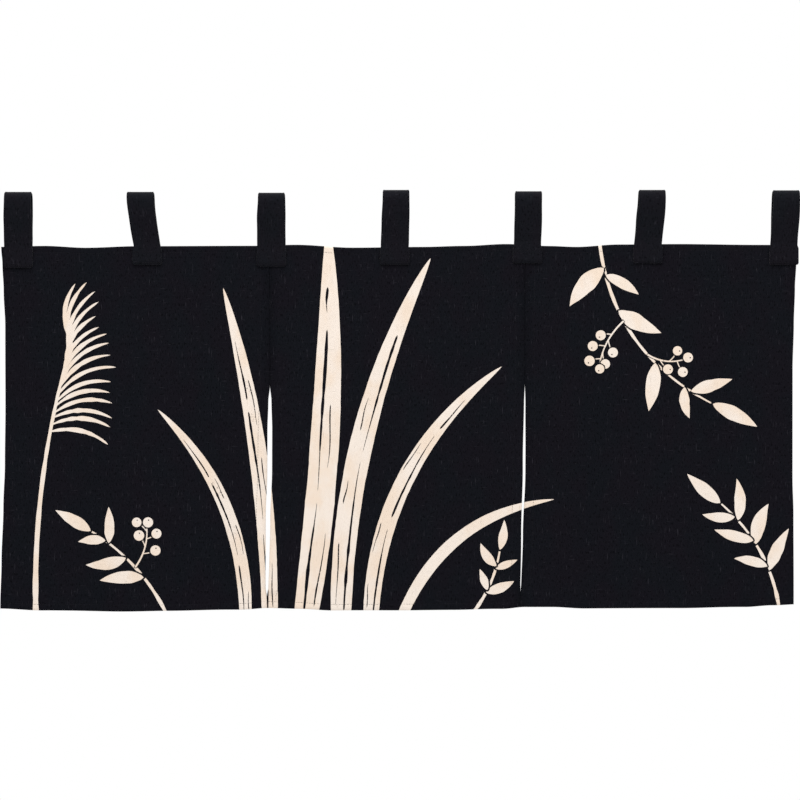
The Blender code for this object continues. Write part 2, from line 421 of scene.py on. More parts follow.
@dataclass(frozen=True)
class Motif:
    """One closed shape of the print.

    Attributes:
        outline: Its points, x and z.
        halo: The dark gap that it keeps from the shapes behind it, or None where it joins them.
        dark: True for a stroke that is left dark inside the shapes behind it.
    """

    outline: np.ndarray
    halo: float | None = HALO
    dark: bool = False

    def depth(self, points: np.ndarray) -> np.ndarray:
        """How far inside the outline each point lies.

        Args:
            points: The points, x and z.

        Returns:
            The distance to the outline, negative outside it, and no more than the field's limit.
        """
        reach = FIELD_LIMIT + (self.halo or 0.0)
        deep = np.full(len(points), -reach)
        low, high = self.outline.min(0) - reach, self.outline.max(0) + reach
        near = np.flatnonzero(((points > low) & (points < high)).all(1))
        if not len(near):
            return deep
        p = points[near][:, None]
        a, b = self.outline[None], np.roll(self.outline, -1, axis=0)[None]
        way = b - a
        t = np.clip(((p - a) * way).sum(2) / np.maximum((way**2).sum(2), 1e-9), 0.0, 1.0)
        gap = np.sqrt((((a + way * t[..., None]) - p) ** 2).sum(2)).min(1)
        inside = in_outline(points[near], self.outline)
        deep[near] = np.clip(np.where(inside, gap, -gap), -reach, reach)
        return deep

    def beyond(self, low: np.ndarray, high: np.ndarray) -> bool:
        """Tells whether the shape lies wholly outside a box."""
        return bool((self.outline.max(0) < low).any() or (self.outline.min(0) > high).any())

    def rings(self) -> list[np.ndarray]:
        """Points just inside the outline and at the edge of its dark gap, where the field turns.

        Returns:
            The inner ring, and the outer one unless the shape is a dark stroke.
        """
        out = outward(self.outline) * math.copysign(1.0, signed_area(self.outline))
        inner = self.outline - out * RING_INSIDE
        rings = [inner[self.depth(inner) > RING_INSIDE * RING_KEEP]]
        if not self.dark:
            gap = RING_INSIDE if self.halo is None else self.halo
            outer = self.outline + out * gap
            rings.append(outer[self.depth(outer) < -gap * RING_KEEP])
        return rings


def rough(chance: np.random.Generator, count: int, amount: float, grain: int) -> np.ndarray:
    """Uneven factors round 1, as a hand-cut stencil or a dry brush leaves an edge.

    Args:
        chance: The print's random numbers.
        count: How many factors.
        amount: The largest change.
        grain: How many points lie between two changes.

    Returns:
        The factors.
    """
    knots = chance.uniform(-1.0, 1.0, count // grain + 3)
    return 1.0 + amount * np.interp(np.arange(count) / grain, np.arange(len(knots)), knots)


def leaf(chance: np.random.Generator, base: np.ndarray, angle: float, length: float,
         width: float) -> Motif:
    """One pointed oval leaf.

    Args:
        chance: The print's random numbers.
        base: The point that it grows from.
        angle: The direction that it grows in.
        length: Its length.
        width: Its width.

    Returns:
        The leaf.
    """
    end = base + length * np.array([math.cos(angle), math.sin(angle)])
    line = bow_line(base, end, chance.uniform(-LEAF_BEND, LEAF_BEND) * length, LEAF_STEPS)
    t = np.linspace(0.0, 1.0, LEAF_STEPS)
    half = width / 2 * np.sin(math.pi * t**LEAF_SHOULDER) ** LEAF_FULLNESS
    half = half * rough(chance, LEAF_STEPS, LEAF_UNEVEN, 3)
    half[[0, -1]] = 0.0
    return Motif(stroke(line, half))


@dataclass(frozen=True)
class MarkRow:
    """A row of dark brush marks along a blade.

    Attributes:
        first: The step where it starts.
        margin: How many steps before its end no new mark starts.
        spans: The least and greatest length of a mark, in steps.
        gaps: The least and greatest gap between two marks.
        leans: Its least and greatest place across the blade, or None where it follows the rib.
        weight: A mark's thickness as a share of the blade's width.
    """

    first: int
    margin: int
    spans: tuple[int, int]
    gaps: tuple[int, int]
    leans: tuple[float, float] | None
    weight: float


@dataclass(frozen=True)
class Blade:
    """A long arching leaf from the foot, with a dry-brushed dark rib and streaks.

    Attributes:
        root: Its x at the foot.
        tip: x and z of its tip.
        bow: How far it arches to the right of the straight way.
        width: Its greatest width.
        rib: Where the rib lies across it, from -1 to 1.
    """

    root: float
    tip: tuple[float, float]
    bow: float
    width: float
    rib: float = 0.3

    STEPS = 150
    TAPER = 0.7                     # how bluntly it runs out to its tip
    FOOT_SHARE, SWELL, PEAK = 0.75, 1.25, 0.88
    MARKED_WIDTH = 14.0             # a narrower blade has no marks
    MARKED_SHARE = 0.84             # share of its length with marks
    ROWS = (
        MarkRow(3, 10, (30, 64), (2, 6), None, 0.06),
        MarkRow(5, 30, (10, 30), (12, 30), (0.3, 0.7), 0.024),
    )
    DRY_SHARE = 0.4                 # share of the marks that start dry
    MARK_LEAST = 0.22               # half width of the thinnest mark
    MARK_SWELL, MARK_RISE, MARK_FALL = 2.2, 0.4, 1.3     # how it thickens and thins along its way
    MARK_WAVE, MARK_TURNS, MARK_PHASE = 0.06, 5.0, 40.0     # how it sways across the blade
    SIDE_ROUGH = ((0.02, 11), (0.014, 2))   # amount and grain of the blade's uneven sides
    MARK_ROUGH = (0.35, 3)          # the same of a mark

    def motifs(self, chance: np.random.Generator) -> list[Motif]:
        """The blade, and the dark brush marks in it.

        Args:
            chance: The print's random numbers.

        Returns:
            The shapes from back to front.
        """
        line = bow_line((self.root, ROOT_Z), self.tip, self.bow, self.STEPS)
        t = np.linspace(0.0, 1.0, self.STEPS)
        half = self.width / 2 * (1.0 - t) ** self.TAPER * (self.FOOT_SHARE + self.SWELL * t) / self.PEAK
        for amount, grain in self.SIDE_ROUGH:
            half = half * rough(chance, self.STEPS, amount, grain)
        half[-1] = 0.0
        side = sideways(line)
        made = [Motif(stroke(line, half))]
        if self.width < self.MARKED_WIDTH:
            return made
        last = int(self.STEPS * self.MARKED_SHARE)
        for row in self.ROWS:
            at = row.first
            while at < last - row.margin:
                stop = min(at + int(chance.integers(*row.spans)), last)
                lean = self.rib
                if row.leans is not None:
                    lean = -math.copysign(chance.uniform(*row.leans), self.rib)
                made.append(self.mark(chance, line, side, half, slice(at, stop), lean, row.weight))
                at = stop + int(chance.integers(*row.gaps))
        return made

    def mark(self, chance: np.random.Generator, line: np.ndarray, side: np.ndarray, half: np.ndarray,
             span: slice, lean: float, weight: float) -> Motif:
        """One dark brush mark along the blade, thick at one end and dry at the other.

        Args:
            chance: The print's random numbers.
            line: The blade's middle.
            side: The unit vectors to its right.
            half: Half its width at each step.
            span: The mark's steps.
            lean: Its place across the blade, from -1 to 1.
            weight: Its thickness as a share of the blade's width.

        Returns:
            The mark.
        """
        count = span.stop - span.start
        s = np.linspace(0.0, 1.0, count)
        across = lean + self.MARK_WAVE * np.sin(s * self.MARK_TURNS + lean * self.MARK_PHASE)
        path = line[span] + side[span] * (half[span] * across)[:, None]
        swell = self.MARK_SWELL * s**self.MARK_RISE * (1.0 - s) ** self.MARK_FALL * half[span] / half.max()
        if chance.uniform() < self.DRY_SHARE:
            swell = swell[::-1]
        width = self.MARK_LEAST + self.width * weight * swell * rough(chance, count, *self.MARK_ROUGH)
        width[[0, -1]] = 0.0
        return Motif(stroke(path, width), dark=True)


@dataclass(frozen=True)
class Sprig:
    """A thin twig with leaves in uneven pairs, and sometimes sprays of berries.

    Attributes:
        start: x and z of the twig's start.
        tip: x and z of its tip.
        bow: How far it arches to the right of the straight way.
        pairs: Pairs of leaves.
        length: Length of the leaves.
        berries: For each spray, the share of the twig where it grows, its angle in degrees and its count.
        bare: The share of the twig before its first leaf.
    """

    start: tuple[float, float]
    tip: tuple[float, float]
    bow: float
    pairs: int
    length: float
    berries: tuple[tuple[float, float, int], ...] = ()
    bare: float = 0.3

    STEPS = 90
    CLEAR = 0.19                    # a spray takes a leaf's place within this share of the twig
    TWIG, TWIG_TAPER = 1.8, 0.9     # half width at the start, and how much it loses
    TWIG_ROUGH = (0.12, 4)          # amount and grain of its uneven sides
    KNUCKLE = 0.35                  # how much thicker the twig is where leaves grow
    LAST_PLACE = 0.97               # share of the twig where the last pair grows
    STAGGER = 0.018                 # how far the leaves of a pair stand apart
    PAIR_PLACE = 0.4                # a pair's place in its step of the twig
    LEAF_SIZES, LEAF_MOST, LEAF_SHRINK = (0.7, 1.08), 1.08, 0.3
    LEAF_TURNS = (0.62, 1.0)        # a leaf's angle to the twig, in radians
    LEAF_SLIMNESS = (0.26, 0.34)    # its width as a share of its length
    END_LEAF = (0.95, 0.27)         # length and width of the leaf at the tip, as shares
    STEM_STEPS = 40
    STEM_LENGTH, STEM_STEP = 14.0, 7.0      # a spray's length without berries, and for each one
    STEM_BOW, STEM_HALF = 5.0, (0.95, 0.6)
    BERRY_STEPS = 26
    BERRY_TURNS = (0.7, 1.1)        # a stalk's angle to the stem, in radians
    STALKS, LAST_STALK = (11.0, 15.0), 2.0
    STALK_HALF, STALK_BOW, STALK_STEPS = 0.55, 0.8, 9
    FIRST_BERRY = 0.35              # share of the stem where the first berry grows
    BERRY_RADII = (4.6, 5.6)
    BERRY_HALO = 1.2
    DOT_RADIUS, DOT_PLACE = 0.75, 0.45      # the dark dot at a berry's far side

    def motifs(self, chance: np.random.Generator) -> list[Motif]:
        """The twig, its leaves and its berries.

        Args:
            chance: The print's random numbers.

        Returns:
            The shapes from back to front.
        """
        line = bow_line(self.start, self.tip, self.bow, self.STEPS)
        t = np.linspace(0.0, 1.0, self.STEPS)
        knuckles = self.KNUCKLE * np.sin(t * math.pi * self.pairs) ** 8
        half = (self.TWIG - self.TWIG_TAPER * t + knuckles) * rough(chance, self.STEPS, *self.TWIG_ROUGH)
        made = [Motif(stroke(line, half), FINE_HALO)]
        ways = np.arctan2(*np.gradient(line, axis=0).T[::-1])
        for i in range(self.pairs):
            place = self.bare + (self.LAST_PLACE - self.bare) * (i + self.PAIR_PLACE) / self.pairs
            for side in (-1.0, 1.0):
                if self.has_berries(place, side, ways):
                    continue
                at = min(int((place + side * self.STAGGER) * self.STEPS), self.STEPS - 2)
                shrink = self.LEAF_MOST - self.LEAF_SHRINK * place
                size = self.length * chance.uniform(*self.LEAF_SIZES) * shrink
                turn = side * chance.uniform(*self.LEAF_TURNS)
                width = size * chance.uniform(*self.LEAF_SLIMNESS)
                made.append(leaf(chance, line[at], ways[at] + turn, size, width))
        length, width = (self.length * share for share in self.END_LEAF)
        made.append(leaf(chance, line[-1], ways[-1], length, width))
        for place, angle, count in self.berries:
            made += self.spray(chance, line[int(place * (self.STEPS - 1))], math.radians(angle), count)
        return made

    def has_berries(self, place: float, side: float, ways: np.ndarray) -> bool:
        """Tells whether a spray of berries takes a leaf's place on one side of the twig."""
        for share, angle, _ in self.berries:
            turn = math.radians(angle) - ways[int(share * (self.STEPS - 1))]
            if math.sin(turn) * side > 0 and abs(share - place) < self.CLEAR:
                return True
        return False

    def spray(self, chance: np.random.Generator, base: np.ndarray, angle: float, count: int) -> list[Motif]:
        """A stem that droops from the twig, with round berries on short stalks.

        Args:
            chance: The print's random numbers.
            base: The point of the twig that it grows from.
            angle: The direction that it grows in, in radians.
            count: The number of berries.

        Returns:
            The stem, and each berry with its stalk and its dark dot.
        """
        way = np.array([math.cos(angle), math.sin(angle)])
        end = base + way * (self.STEM_LENGTH + self.STEM_STEP * count)
        stem = bow_line(base, end, self.STEM_BOW, self.STEM_STEPS)
        made = [Motif(stroke(stem, np.linspace(*self.STEM_HALF, self.STEM_STEPS)), FINE_HALO)]
        turn = np.linspace(0.0, 2.0 * math.pi, self.BERRY_STEPS, endpoint=False)
        ring = np.stack([np.cos(turn), np.sin(turn)], axis=1)
        for i in range(count):
            share = self.FIRST_BERRY + (1.0 - self.FIRST_BERRY) * i / max(count - 1, 1)
            knot = stem[int((self.STEM_STEPS - 1) * share)]
            lean = angle + (1.0 if i % 2 else -1.0) * chance.uniform(*self.BERRY_TURNS)
            reach = chance.uniform(*self.STALKS) if i < count - 1 else self.LAST_STALK
            middle = knot + reach * np.array([math.cos(lean), math.sin(lean)])
            stalk = bow_line(knot, middle, self.STALK_BOW, self.STALK_STEPS)
            made.append(Motif(stroke(stalk, np.full(self.STALK_STEPS, self.STALK_HALF)), None))
            size = chance.uniform(*self.BERRY_RADII)
            made.append(Motif(middle + ring * size, self.BERRY_HALO))
            made.append(Motif(middle + ring * self.DOT_RADIUS + way * size * self.DOT_PLACE, dark=True))
        return made


@dataclass(frozen=True)
class Plume:
    """A tall grass stalk with a one-sided plume of drooping strands.

    Attributes:
        root: Its x at the foot.
        top: x and z of its top.
        bow: How far it arches to the right of the straight way.
        strands: How many strands the plume has.
        reach: The strands' length.
    """

    root: float
    top: tuple[float, float]
    bow: float
    strands: int
    reach: float

    STEPS = 120
    STALK, STALK_TAPER = 3.0, 1.7   # half width at the foot, and how much it loses
    STRAND_GAP = 2.6                # steps of the stalk from one strand to the next
    FIRST_ANGLE, FAN = 84.0, 92.0   # the top strand's angle in degrees, and how far the rest fan out
    ANGLE_JITTER = 3.0
    SHRINK, SIZES = 0.25, (0.9, 1.08)
    DROOP, STRAND_BOW = 0.14, -0.13
    STRAND_STEPS = 25
    STRAND_LEAST, STRAND_SWELL = 0.35, 1.9
    SWELL_PLACE, SWELL_FULLNESS = 0.95, 0.7     # where a strand is widest, and how blunt its ends are
    STALK_ROUGH, STRAND_ROUGH = (0.14, 4), (0.25, 2)    # amount and grain of uneven sides

    def motifs(self, chance: np.random.Generator) -> list[Motif]:
        """The stalk and its strands.

        Args:
            chance: The print's random numbers.

        Returns:
            The shapes from back to front.
        """
        line = bow_line((self.root, ROOT_Z), self.top, self.bow, self.STEPS)
        t = np.linspace(0.0, 1.0, self.STEPS)
        stalk = (self.STALK - self.STALK_TAPER * t) * rough(chance, self.STEPS, *self.STALK_ROUGH)
        made = [Motif(stroke(line, stalk))]
        for i in range(self.strands):
            made.append(self.strand(chance, line[self.STEPS - 1 - int(i * self.STRAND_GAP)], i))
        return made

    def strand(self, chance: np.random.Generator, base: np.ndarray, number: int) -> Motif:
        """One strand of the plume, counted from the top.

        Args:
            chance: The print's random numbers.
            base: The point of the stalk that it grows from.
            number: Its number.

        Returns:
            The strand.
        """
        jitter = chance.uniform(-self.ANGLE_JITTER, self.ANGLE_JITTER)
        angle = math.radians(self.FIRST_ANGLE - self.FAN * number / self.strands + jitter)
        size = self.reach * (1.0 - self.SHRINK * number / self.strands) * chance.uniform(*self.SIZES)
        way = np.array([math.cos(angle), math.sin(angle)])
        end = base + size * way - (0.0, self.DROOP * size)
        path = bow_line(base, end, self.STRAND_BOW * size, self.STRAND_STEPS)
        turn = np.linspace(0.0, math.pi, self.STRAND_STEPS) ** self.SWELL_PLACE / math.pi**-0.05
        swell = self.STRAND_SWELL * np.abs(np.sin(turn) ** self.SWELL_FULLNESS)
        half = self.STRAND_LEAST + swell * rough(chance, self.STRAND_STEPS, *self.STRAND_ROUGH)
        half[-1] = 0.0
        return Motif(stroke(path, half), None)


@dataclass
class PlantPrint:
    """The print of arching blades, a plumed grass and leafy sprigs with berries, drawn by rule."""

    motifs: list[Motif] = field(default_factory=list)

    PLANTS = (
        Plume(-388.0, (-350.0, -150.0), -12.0, 16, 80.0),
        Sprig((-246.0, -446.0), (-330.0, -352.0), 10.0, 3, 46.0, ((0.52, 76.0, 5),)),
        Blade(-164.0, (-258.0, -222.0), 26.0, 15.0, -0.3),
        Blade(2.0, (166.0, -318.0), -30.0, 12.5),
        Blade(-138.0, (-188.0, -92.0), 12.0, 19.5, -0.3),
        Blade(-30.0, (110.0, -176.0), -36.0, 19.0),
        Blade(-62.0, (34.0, -60.0), -24.0, 25.0),
        Blade(-100.0, (-76.0, -22.0), 10.0, 31.0, -0.25),
        Sprig((74.0, -446.0), (108.0, -372.0), 6.0, 2, 34.0),
        Sprig((214.0, -36.0), (336.0, -216.0), 30.0, 5, 56.0, ((0.42, -118.0, 6), (0.62, -6.0, 4)), 0.1),
        Sprig((408.0, -446.0), (344.0, -322.0), 14.0, 3, 50.0),
    )

    def draw(self) -> None:
        """Fills the list of motifs from back to front."""
        chance = np.random.default_rng(PRINT_SEED)
        for plant in self.PLANTS:
            self.motifs += plant.motifs(chance)

    def depth(self, points: np.ndarray) -> np.ndarray:
        """How far inside the print each point lies, with the dark gaps round the shapes in front.

        Args:
            points: The points, x and z.

        Returns:
            The distance to the print's edge in millimetres, negative on bare cloth.
        """
        deep = np.full(len(points), -FIELD_LIMIT)
        for motif in self.motifs:
            inside = motif.depth(points)
            if motif.dark:
                deep = np.minimum(deep, -inside)
            elif motif.halo is None:
                deep = np.maximum(deep, inside)
            else:
                deep = np.maximum(np.minimum(deep, -inside - motif.halo), inside)
        return np.clip(deep, -FIELD_LIMIT, FIELD_LIMIT)


# Meshes


def new_object(name: str, data: bpy.types.ID) -> bpy.types.Object:
    """Makes an object of its data in the scene.

    Args:
        name: The object's name.
        data: Its mesh, camera or light.

    Returns:
        The new object.
    """
    made = bpy.data.objects.new(name, data)
    bpy.context.scene.collection.objects.link(made)
    return made


def mesh_object(name: str, points: np.ndarray, faces: Iterable[Sequence[int]]) -> bpy.types.Object:
    """Makes a smooth mesh object at the origin.

    Args:
        name: The object's name.
        points: Its points, in millimetres.
        faces: Its faces, as point numbers.

    Returns:
        The new object.
    """
    data = bpy.data.meshes.new(name)
    data.from_pydata((points * MM).tolist(), [], [tuple(int(i) for i in f) for f in faces])
    data.validate()
    data.shade_smooth()
    return new_object(name, data)


def add_numbers(data: bpy.types.Mesh, name: str, domain: str, values: np.ndarray) -> None:
    """Stores one number for each point, face or corner, for a material to read."""
    layer = data.attributes.new(name, "FLOAT", domain)
    layer.data.foreach_set("value", np.asarray(values, np.float32).ravel())


def add_cloth_map(data: bpy.types.Mesh, places: np.ndarray) -> None:
    """Stores the flat cloth coordinates, in metres, as a UV map named cloth.

    Args:
        data: The mesh.
        places: Each point's place on the cloth, in millimetres.
    """
    layer = data.uv_layers.new(name="cloth")
    corners = np.empty(len(data.loops), np.int32)
    data.loops.foreach_get("vertex_index", corners)
    layer.data.foreach_set("uv", (places[corners] * MM).astype(np.float32).ravel())


@dataclass
class Panel:
    """One printed cotton panel with its hems.

    Attributes:
        name: The piece's name.
        node: The solid that it stands for.
        left: Its left edge.
        right: Its right edge.
        cut: The width and length that it was cut to, in millimetres.
    """

    name: str
    node: str
    left: Edge
    right: Edge
    cut: tuple[float, float]

    RIPPLE_START, RIPPLE_FULL = 0.06, 0.2   # shares of the drop where the ripples begin and are whole
    HEM_FADE = (-0.4, 0.6)                  # the hem's mark fades out between these, from its seam
    RIM_ROWS = (0.8, 1.5, 2.4)              # rows of points, from a hem's edge
    HEM_ROWS = (-1.6, -0.8, 0.0, 0.8, 2.0)  # rows of points, from the seam of a short hem
    SLIT_ROWS = (-5.0, -1.0, 0.0, 1.0, 2.4)     # the same at a slit
    LAP_ROWS = (-1.4, 0.2, 1.6, 3.0, 4.6)   # rows of points under a loop's end
    LAP_SPAN, LAP_PITCH = (-17.0, 17.5), 2.0    # their reach from its middle, and their pitch
    ROW_MARGIN, SLIT_ROW_MARGIN = 2.0, 3.0  # the other rows keep this clear of a panel's sides and ends
    THREAD_STEP = 2.0                       # pitch of the points along a stitch line
    THREAD_MARGIN, SLIT_THREAD_MARGIN = 2.5, 8.0
    WANDER_LENGTH, SLIT_WANDER = 29.0, 17.0     # a wave of a stitch line: its length, and turns per drop

    def outline(self) -> np.ndarray:
        """The panel's outline in the hanging plane, anticlockwise, inset by the rounding of its edge.

        Returns:
            Its points, x and z.
        """
        down = np.linspace(0.0, 1.0, int(DROP / EDGE_PITCH) + 1)
        low = self.left.at(down)
        high = self.right.at(down)[::-1]
        count = int(PANEL_WIDTH / EDGE_PITCH) + 1
        across = np.linspace(self.left.at(1.0), self.right.at(1.0), count)[1:-1]
        back = np.linspace(self.right.at(0.0), self.left.at(0.0), count)[1:-1]
        left_z = heading(low) + (foot(low) - heading(low)) * down
        right_z = heading(high) + (foot(high) - heading(high)) * down[::-1]
        x = np.concatenate([low, across, high, back])
        z = np.concatenate([left_z, foot(across), right_z, heading(back)])
        line = np.stack([x, z], axis=1)
        return line - outward(line) * EDGE_ROUND

    def slit_edges(self) -> list[tuple[Edge, float]]:
        """The edges that have a hem, each with the direction from it into the panel."""
        return [pair for pair in ((self.left, 1.0), (self.right, -1.0)) if pair[0].slit is not None]

    def hem_gaps(self, x: np.ndarray, share: np.ndarray) -> list[tuple[np.ndarray, float, np.ndarray]]:
        """For each hem, the distance from its edge, its width and the way along it.

        Args:
            x: Places across the curtain.
            share: Shares of the drop.

        Returns:
            One row for each hem.
        """
        gaps = [(share * DROP, HEADING_HEM, x), ((1.0 - share) * DROP, FOOT_HEM, x)]
        for edge, _ in self.slit_edges():
            gaps.append((np.abs(x - edge.at(share)), SLIT_HEM, share * DROP))
        return gaps

    def relief(self, x: np.ndarray, share: np.ndarray) -> np.ndarray:
        """Fine form of the printed face: raised hems, sunk stitch lines, puckers and faint ripples.

        Args:
            x: Places across the curtain.
            share: Shares of the drop.

        Returns:
            How far back each place lies, beside the soft folds.
        """
        first = np.sin(x / RIPPLE_ACROSS[0] + RIPPLE_DOWN[0] * share)
        y = RIPPLE * first * np.sin(share * RIPPLE_DOWN[1] + x / RIPPLE_ACROSS[1])
        y = y * smooth(self.RIPPLE_START, self.RIPPLE_FULL, share)
        for gap, width, along in self.hem_gaps(x, share):
            y = y - HEM_RISE * (1.0 - smooth(width, width + HEM_STEP, gap))
            y = y + GROOVE * np.exp(-(((gap - width) / GROOVE_WIDTH) ** 2))
            drift = PUCKER_DRIFT * np.sin(along / PUCKER_DRIFT_LENGTH)
            wave = np.sin(along * 2 * math.pi / PUCKER_PITCH + drift)
            y = y + PUCKER * wave * np.exp(-((gap / PUCKER_REACH) ** 2))
        return y + self.roll(x, share)

    def roll(self, x: np.ndarray, share: np.ndarray) -> np.ndarray:
        """How far the face turns back where a hem is folded round its edge.

        Args:
            x: Places across the curtain.
            share: Shares of the drop.

        Returns:
            The depth at each place.
        """
        nearest = np.full(len(x), DROP)
        for gap, _, _ in self.hem_gaps(x, share):
            nearest = np.minimum(nearest, gap)
        return HEM_ROLL * np.exp(-((nearest / HEM_ROLL_WIDTH) ** 2))

    def thickness(self, x: np.ndarray, share: np.ndarray) -> np.ndarray:
        """The cloth's thickness: two layers where a hem is turned to the back.

        Args:
            x: Places across the curtain.
            share: Shares of the drop.

        Returns:
            The thickness at each place.
        """
        inside = np.full(len(x), DROP)
        for gap, width, _ in self.hem_gaps(x, share):
            inside = np.minimum(inside, gap - width)
        whole = HEMMED + (CLOTH - HEMMED) * smooth(0.0, HEM_STEP, inside)
        return whole - 2.0 * self.roll(x, share)

    def in_hem(self, x: np.ndarray, share: np.ndarray) -> np.ndarray:
        """1 where the cloth lies in a hem and 0 elsewhere.

        Args:
            x: Places across the curtain.
            share: Shares of the drop.

        Returns:
            One number for each place.
        """
        inside = np.zeros(len(x))
        for gap, width, _ in self.hem_gaps(x, share):
            beyond = smooth(width + self.HEM_FADE[0], width + self.HEM_FADE[1], gap)
            inside = np.maximum(inside, 1.0 - beyond)
        return inside

    def over(self, plane: np.ndarray, face: Face) -> np.ndarray:
        """Points of one face over points of the hanging plane.

        Args:
            plane: The points, x and z.
            face: The cloth's face.

        Returns:
            The face's points.
        """
        x, z = plane[:, 0], plane[:, 1]
        share = share_at(x, z)
        y = fold(x, share) + self.relief(x, share)
        if face is Face.REVERSE:
            y = y + self.thickness(x, share)
        return np.stack([x, y, z], axis=1)

    def even_places(self, share: float, margin: float, pitch: float) -> np.ndarray:
        """Even places from side to side at a share of the drop, clear of both sides by a margin."""
        return np.arange(float(self.left.at(share)) + margin, float(self.right.at(share)) - margin, pitch)

    def hem_points(self) -> np.ndarray:
        """Rows of points along the hems, close enough to hold the stitch lines' grooves, and under the
        loops' ends to hold their painted shadow.

        Returns:
            The points, x and z.
        """
        rows = []
        for width, top in ((HEADING_HEM, True), (FOOT_HEM, False)):
            for gap in (*self.RIM_ROWS, *(width + step for step in self.HEM_ROWS)):
                share = gap / DROP if top else 1.0 - gap / DROP
                rows.append(hung(self.even_places(share, self.ROW_MARGIN, ROW_PITCH), share))
        for edge, inward in self.slit_edges():
            share = np.arange(self.SLIT_ROW_MARGIN, DROP - self.SLIT_ROW_MARGIN, ROW_PITCH) / DROP
            for gap in (*self.RIM_ROWS, *(SLIT_HEM + step for step in self.SLIT_ROWS)):
                rows.append(hung(edge.at(share) + inward * gap, share))
        for _, _, foot_x, *_, lap in LOOPS:
            x = np.arange(foot_x + self.LAP_SPAN[0], foot_x + self.LAP_SPAN[1], self.LAP_PITCH)
            for below in self.LAP_ROWS:
                rows.append(np.stack([x, np.full(len(x), float(heading(foot_x)) - lap - below)], axis=1))
        return np.concatenate(rows)

    def plane_mesh(self, drawing: PlantPrint) -> tuple[np.ndarray, np.ndarray]:
        """Cuts the hanging plane into triangles whose sides follow the print's outlines.

        Args:
            drawing: The print.

        Returns:
            The points and the triangles.
        """
        rim = self.outline()
        low, high = rim.min(0), rim.max(0)
        motifs = [motif for motif in drawing.motifs if not motif.beyond(low, high)]
        lines = [rim, *(motif.outline for motif in motifs)]
        firsts = np.cumsum([0, *(len(line) for line in lines)])
        edges = np.concatenate([loop_edges(len(line), first) for line, first in zip(lines, firsts)])
        xs, zs = (np.arange(low[i] + GRID_PITCH / 2, high[i], GRID_PITCH) for i in (0, 1))
        grid = np.stack(np.meshgrid(xs, zs), axis=-1).reshape(-1, 2)
        rings = [ring for motif in motifs for ring in motif.rings()]
        free = np.concatenate([self.hem_points(), *rings, grid])
        free = free[in_outline(free, rim - outward(rim) * RIM_CLEAR)]
        every = [Vector(p) for p in np.concatenate([*lines, free])]
        found = delaunay_2d_cdt(every, edges.tolist(), [], 0, SAME_POINT, False)
        flat = np.array([tuple(p) for p in found[0]])
        faces = np.array([f for f in found[2] if len(f) == 3])
        whole = np.abs(doubled_areas(flat, faces)) > LEAST_AREA
        return flat, faces[whole & in_outline(flat[faces].mean(1), rim)]

    def build(self, drawing: PlantPrint) -> bpy.types.Object:
        """Makes the panel as one closed sheet with its print, hems and cloth coordinates.

        Args:
            drawing: The print.

        Returns:
            The panel's object.
        """
        flat, faces = trimmed(*self.plane_mesh(drawing))
        chain = rim_chain(faces)
        middle = flat[chain] + outward(flat[chain]) * (EDGE_ROUND + SEAM_TOUCH)
        front, back = (self.over(flat, face) for face in Face)
        brow = (front[chain] + back[chain]) / 2
        brow[:, [0, 2]] = middle
        n = len(flat)
        ring = 2 * n + np.arange(len(chain))
        after, ring_after = np.roll(chain, -1), np.roll(ring, -1)
        near = np.stack([chain, ring, ring_after, after], axis=1)
        far = np.stack([ring, n + chain, n + after, ring_after], axis=1)
        shapes = [*faces, *(faces[:, ::-1] + n), *near, *far]
        made = mesh_object(self.name, np.concatenate([front, back, brow]), shapes)
        made.data.set_sharp_from_angle(angle=SHARP_PANEL)
        self.mark(made.data, drawing, np.concatenate([flat, flat, middle]), len(faces))
        return made

    def mark(self, data: bpy.types.Mesh, drawing: PlantPrint, plane: np.ndarray, front_faces: int) -> None:
        """Stores the print's field, the hems, the painted shade, the reverse face and the cloth coordinates
        on the mesh.

        Args:
            data: The panel's mesh.
            drawing: The print.
            plane: Each point's place in the hanging plane.
            front_faces: How many faces the printed side has. As many of the reverse follow them.
        """
        field_at = drawing.depth(plane)
        corner = np.empty(len(data.loops), np.int32)
        data.loops.foreach_get("vertex_index", corner)
        starts = np.empty(len(data.polygons), np.int32)
        totals = np.empty(len(data.polygons), np.int32)
        data.polygons.foreach_get("loop_start", starts)
        data.polygons.foreach_get("loop_total", totals)
        owner = np.repeat(np.arange(len(starts)), totals)
        middles = np.add.reduceat(plane[corner], starts, axis=0) / totals[:, None]
        side = np.where(drawing.depth(middles) > 0, EDGE_BIAS, -EDGE_BIAS)
        add_numbers(data, "ink", "CORNER", field_at[corner] + side[owner])
        x = plane[:, 0]
        share = share_at(x, plane[:, 1])
        add_numbers(data, "hem", "POINT", self.in_hem(x, share))
        # painted shade: the seams' valleys and the shadow under the loops' ends, stored as seam
        sewn = np.maximum(seam_shade(x, share), LAP_SHADE * lap_shade(x, plane[:, 1]))
        add_numbers(data, "seam", "POINT", sewn)
        reverse = np.zeros(len(starts))
        reverse[front_faces:2 * front_faces] = 1.0
        add_numbers(data, "reverse", "FACE", reverse)
        add_cloth_map(data, plane)

    def stitch_lines(self) -> list[np.ndarray]:
        """The lines that the hems are sewn along, on both faces.

        Returns:
            The lines' points.
        """
        lines = []
        for width, top in ((HEADING_HEM, True), (FOOT_HEM, False)):
            share = width / DROP if top else 1.0 - width / DROP
            line = hung(self.even_places(share, self.THREAD_MARGIN, self.THREAD_STEP), share)
            line[:, 1] += THREAD_WANDER * np.sin(line[:, 0] / self.WANDER_LENGTH)
            lines.append(line)
        for edge, inward in self.slit_edges():
            margin = self.SLIT_THREAD_MARGIN
            share = np.arange(margin, DROP - margin, self.THREAD_STEP) / DROP
            wander = THREAD_WANDER * np.sin(share * self.SLIT_WANDER)
            lines.append(hung(edge.at(share) + inward * SLIT_HEM + wander, share))
        return [self.over(line, face) for face in Face for line in lines]


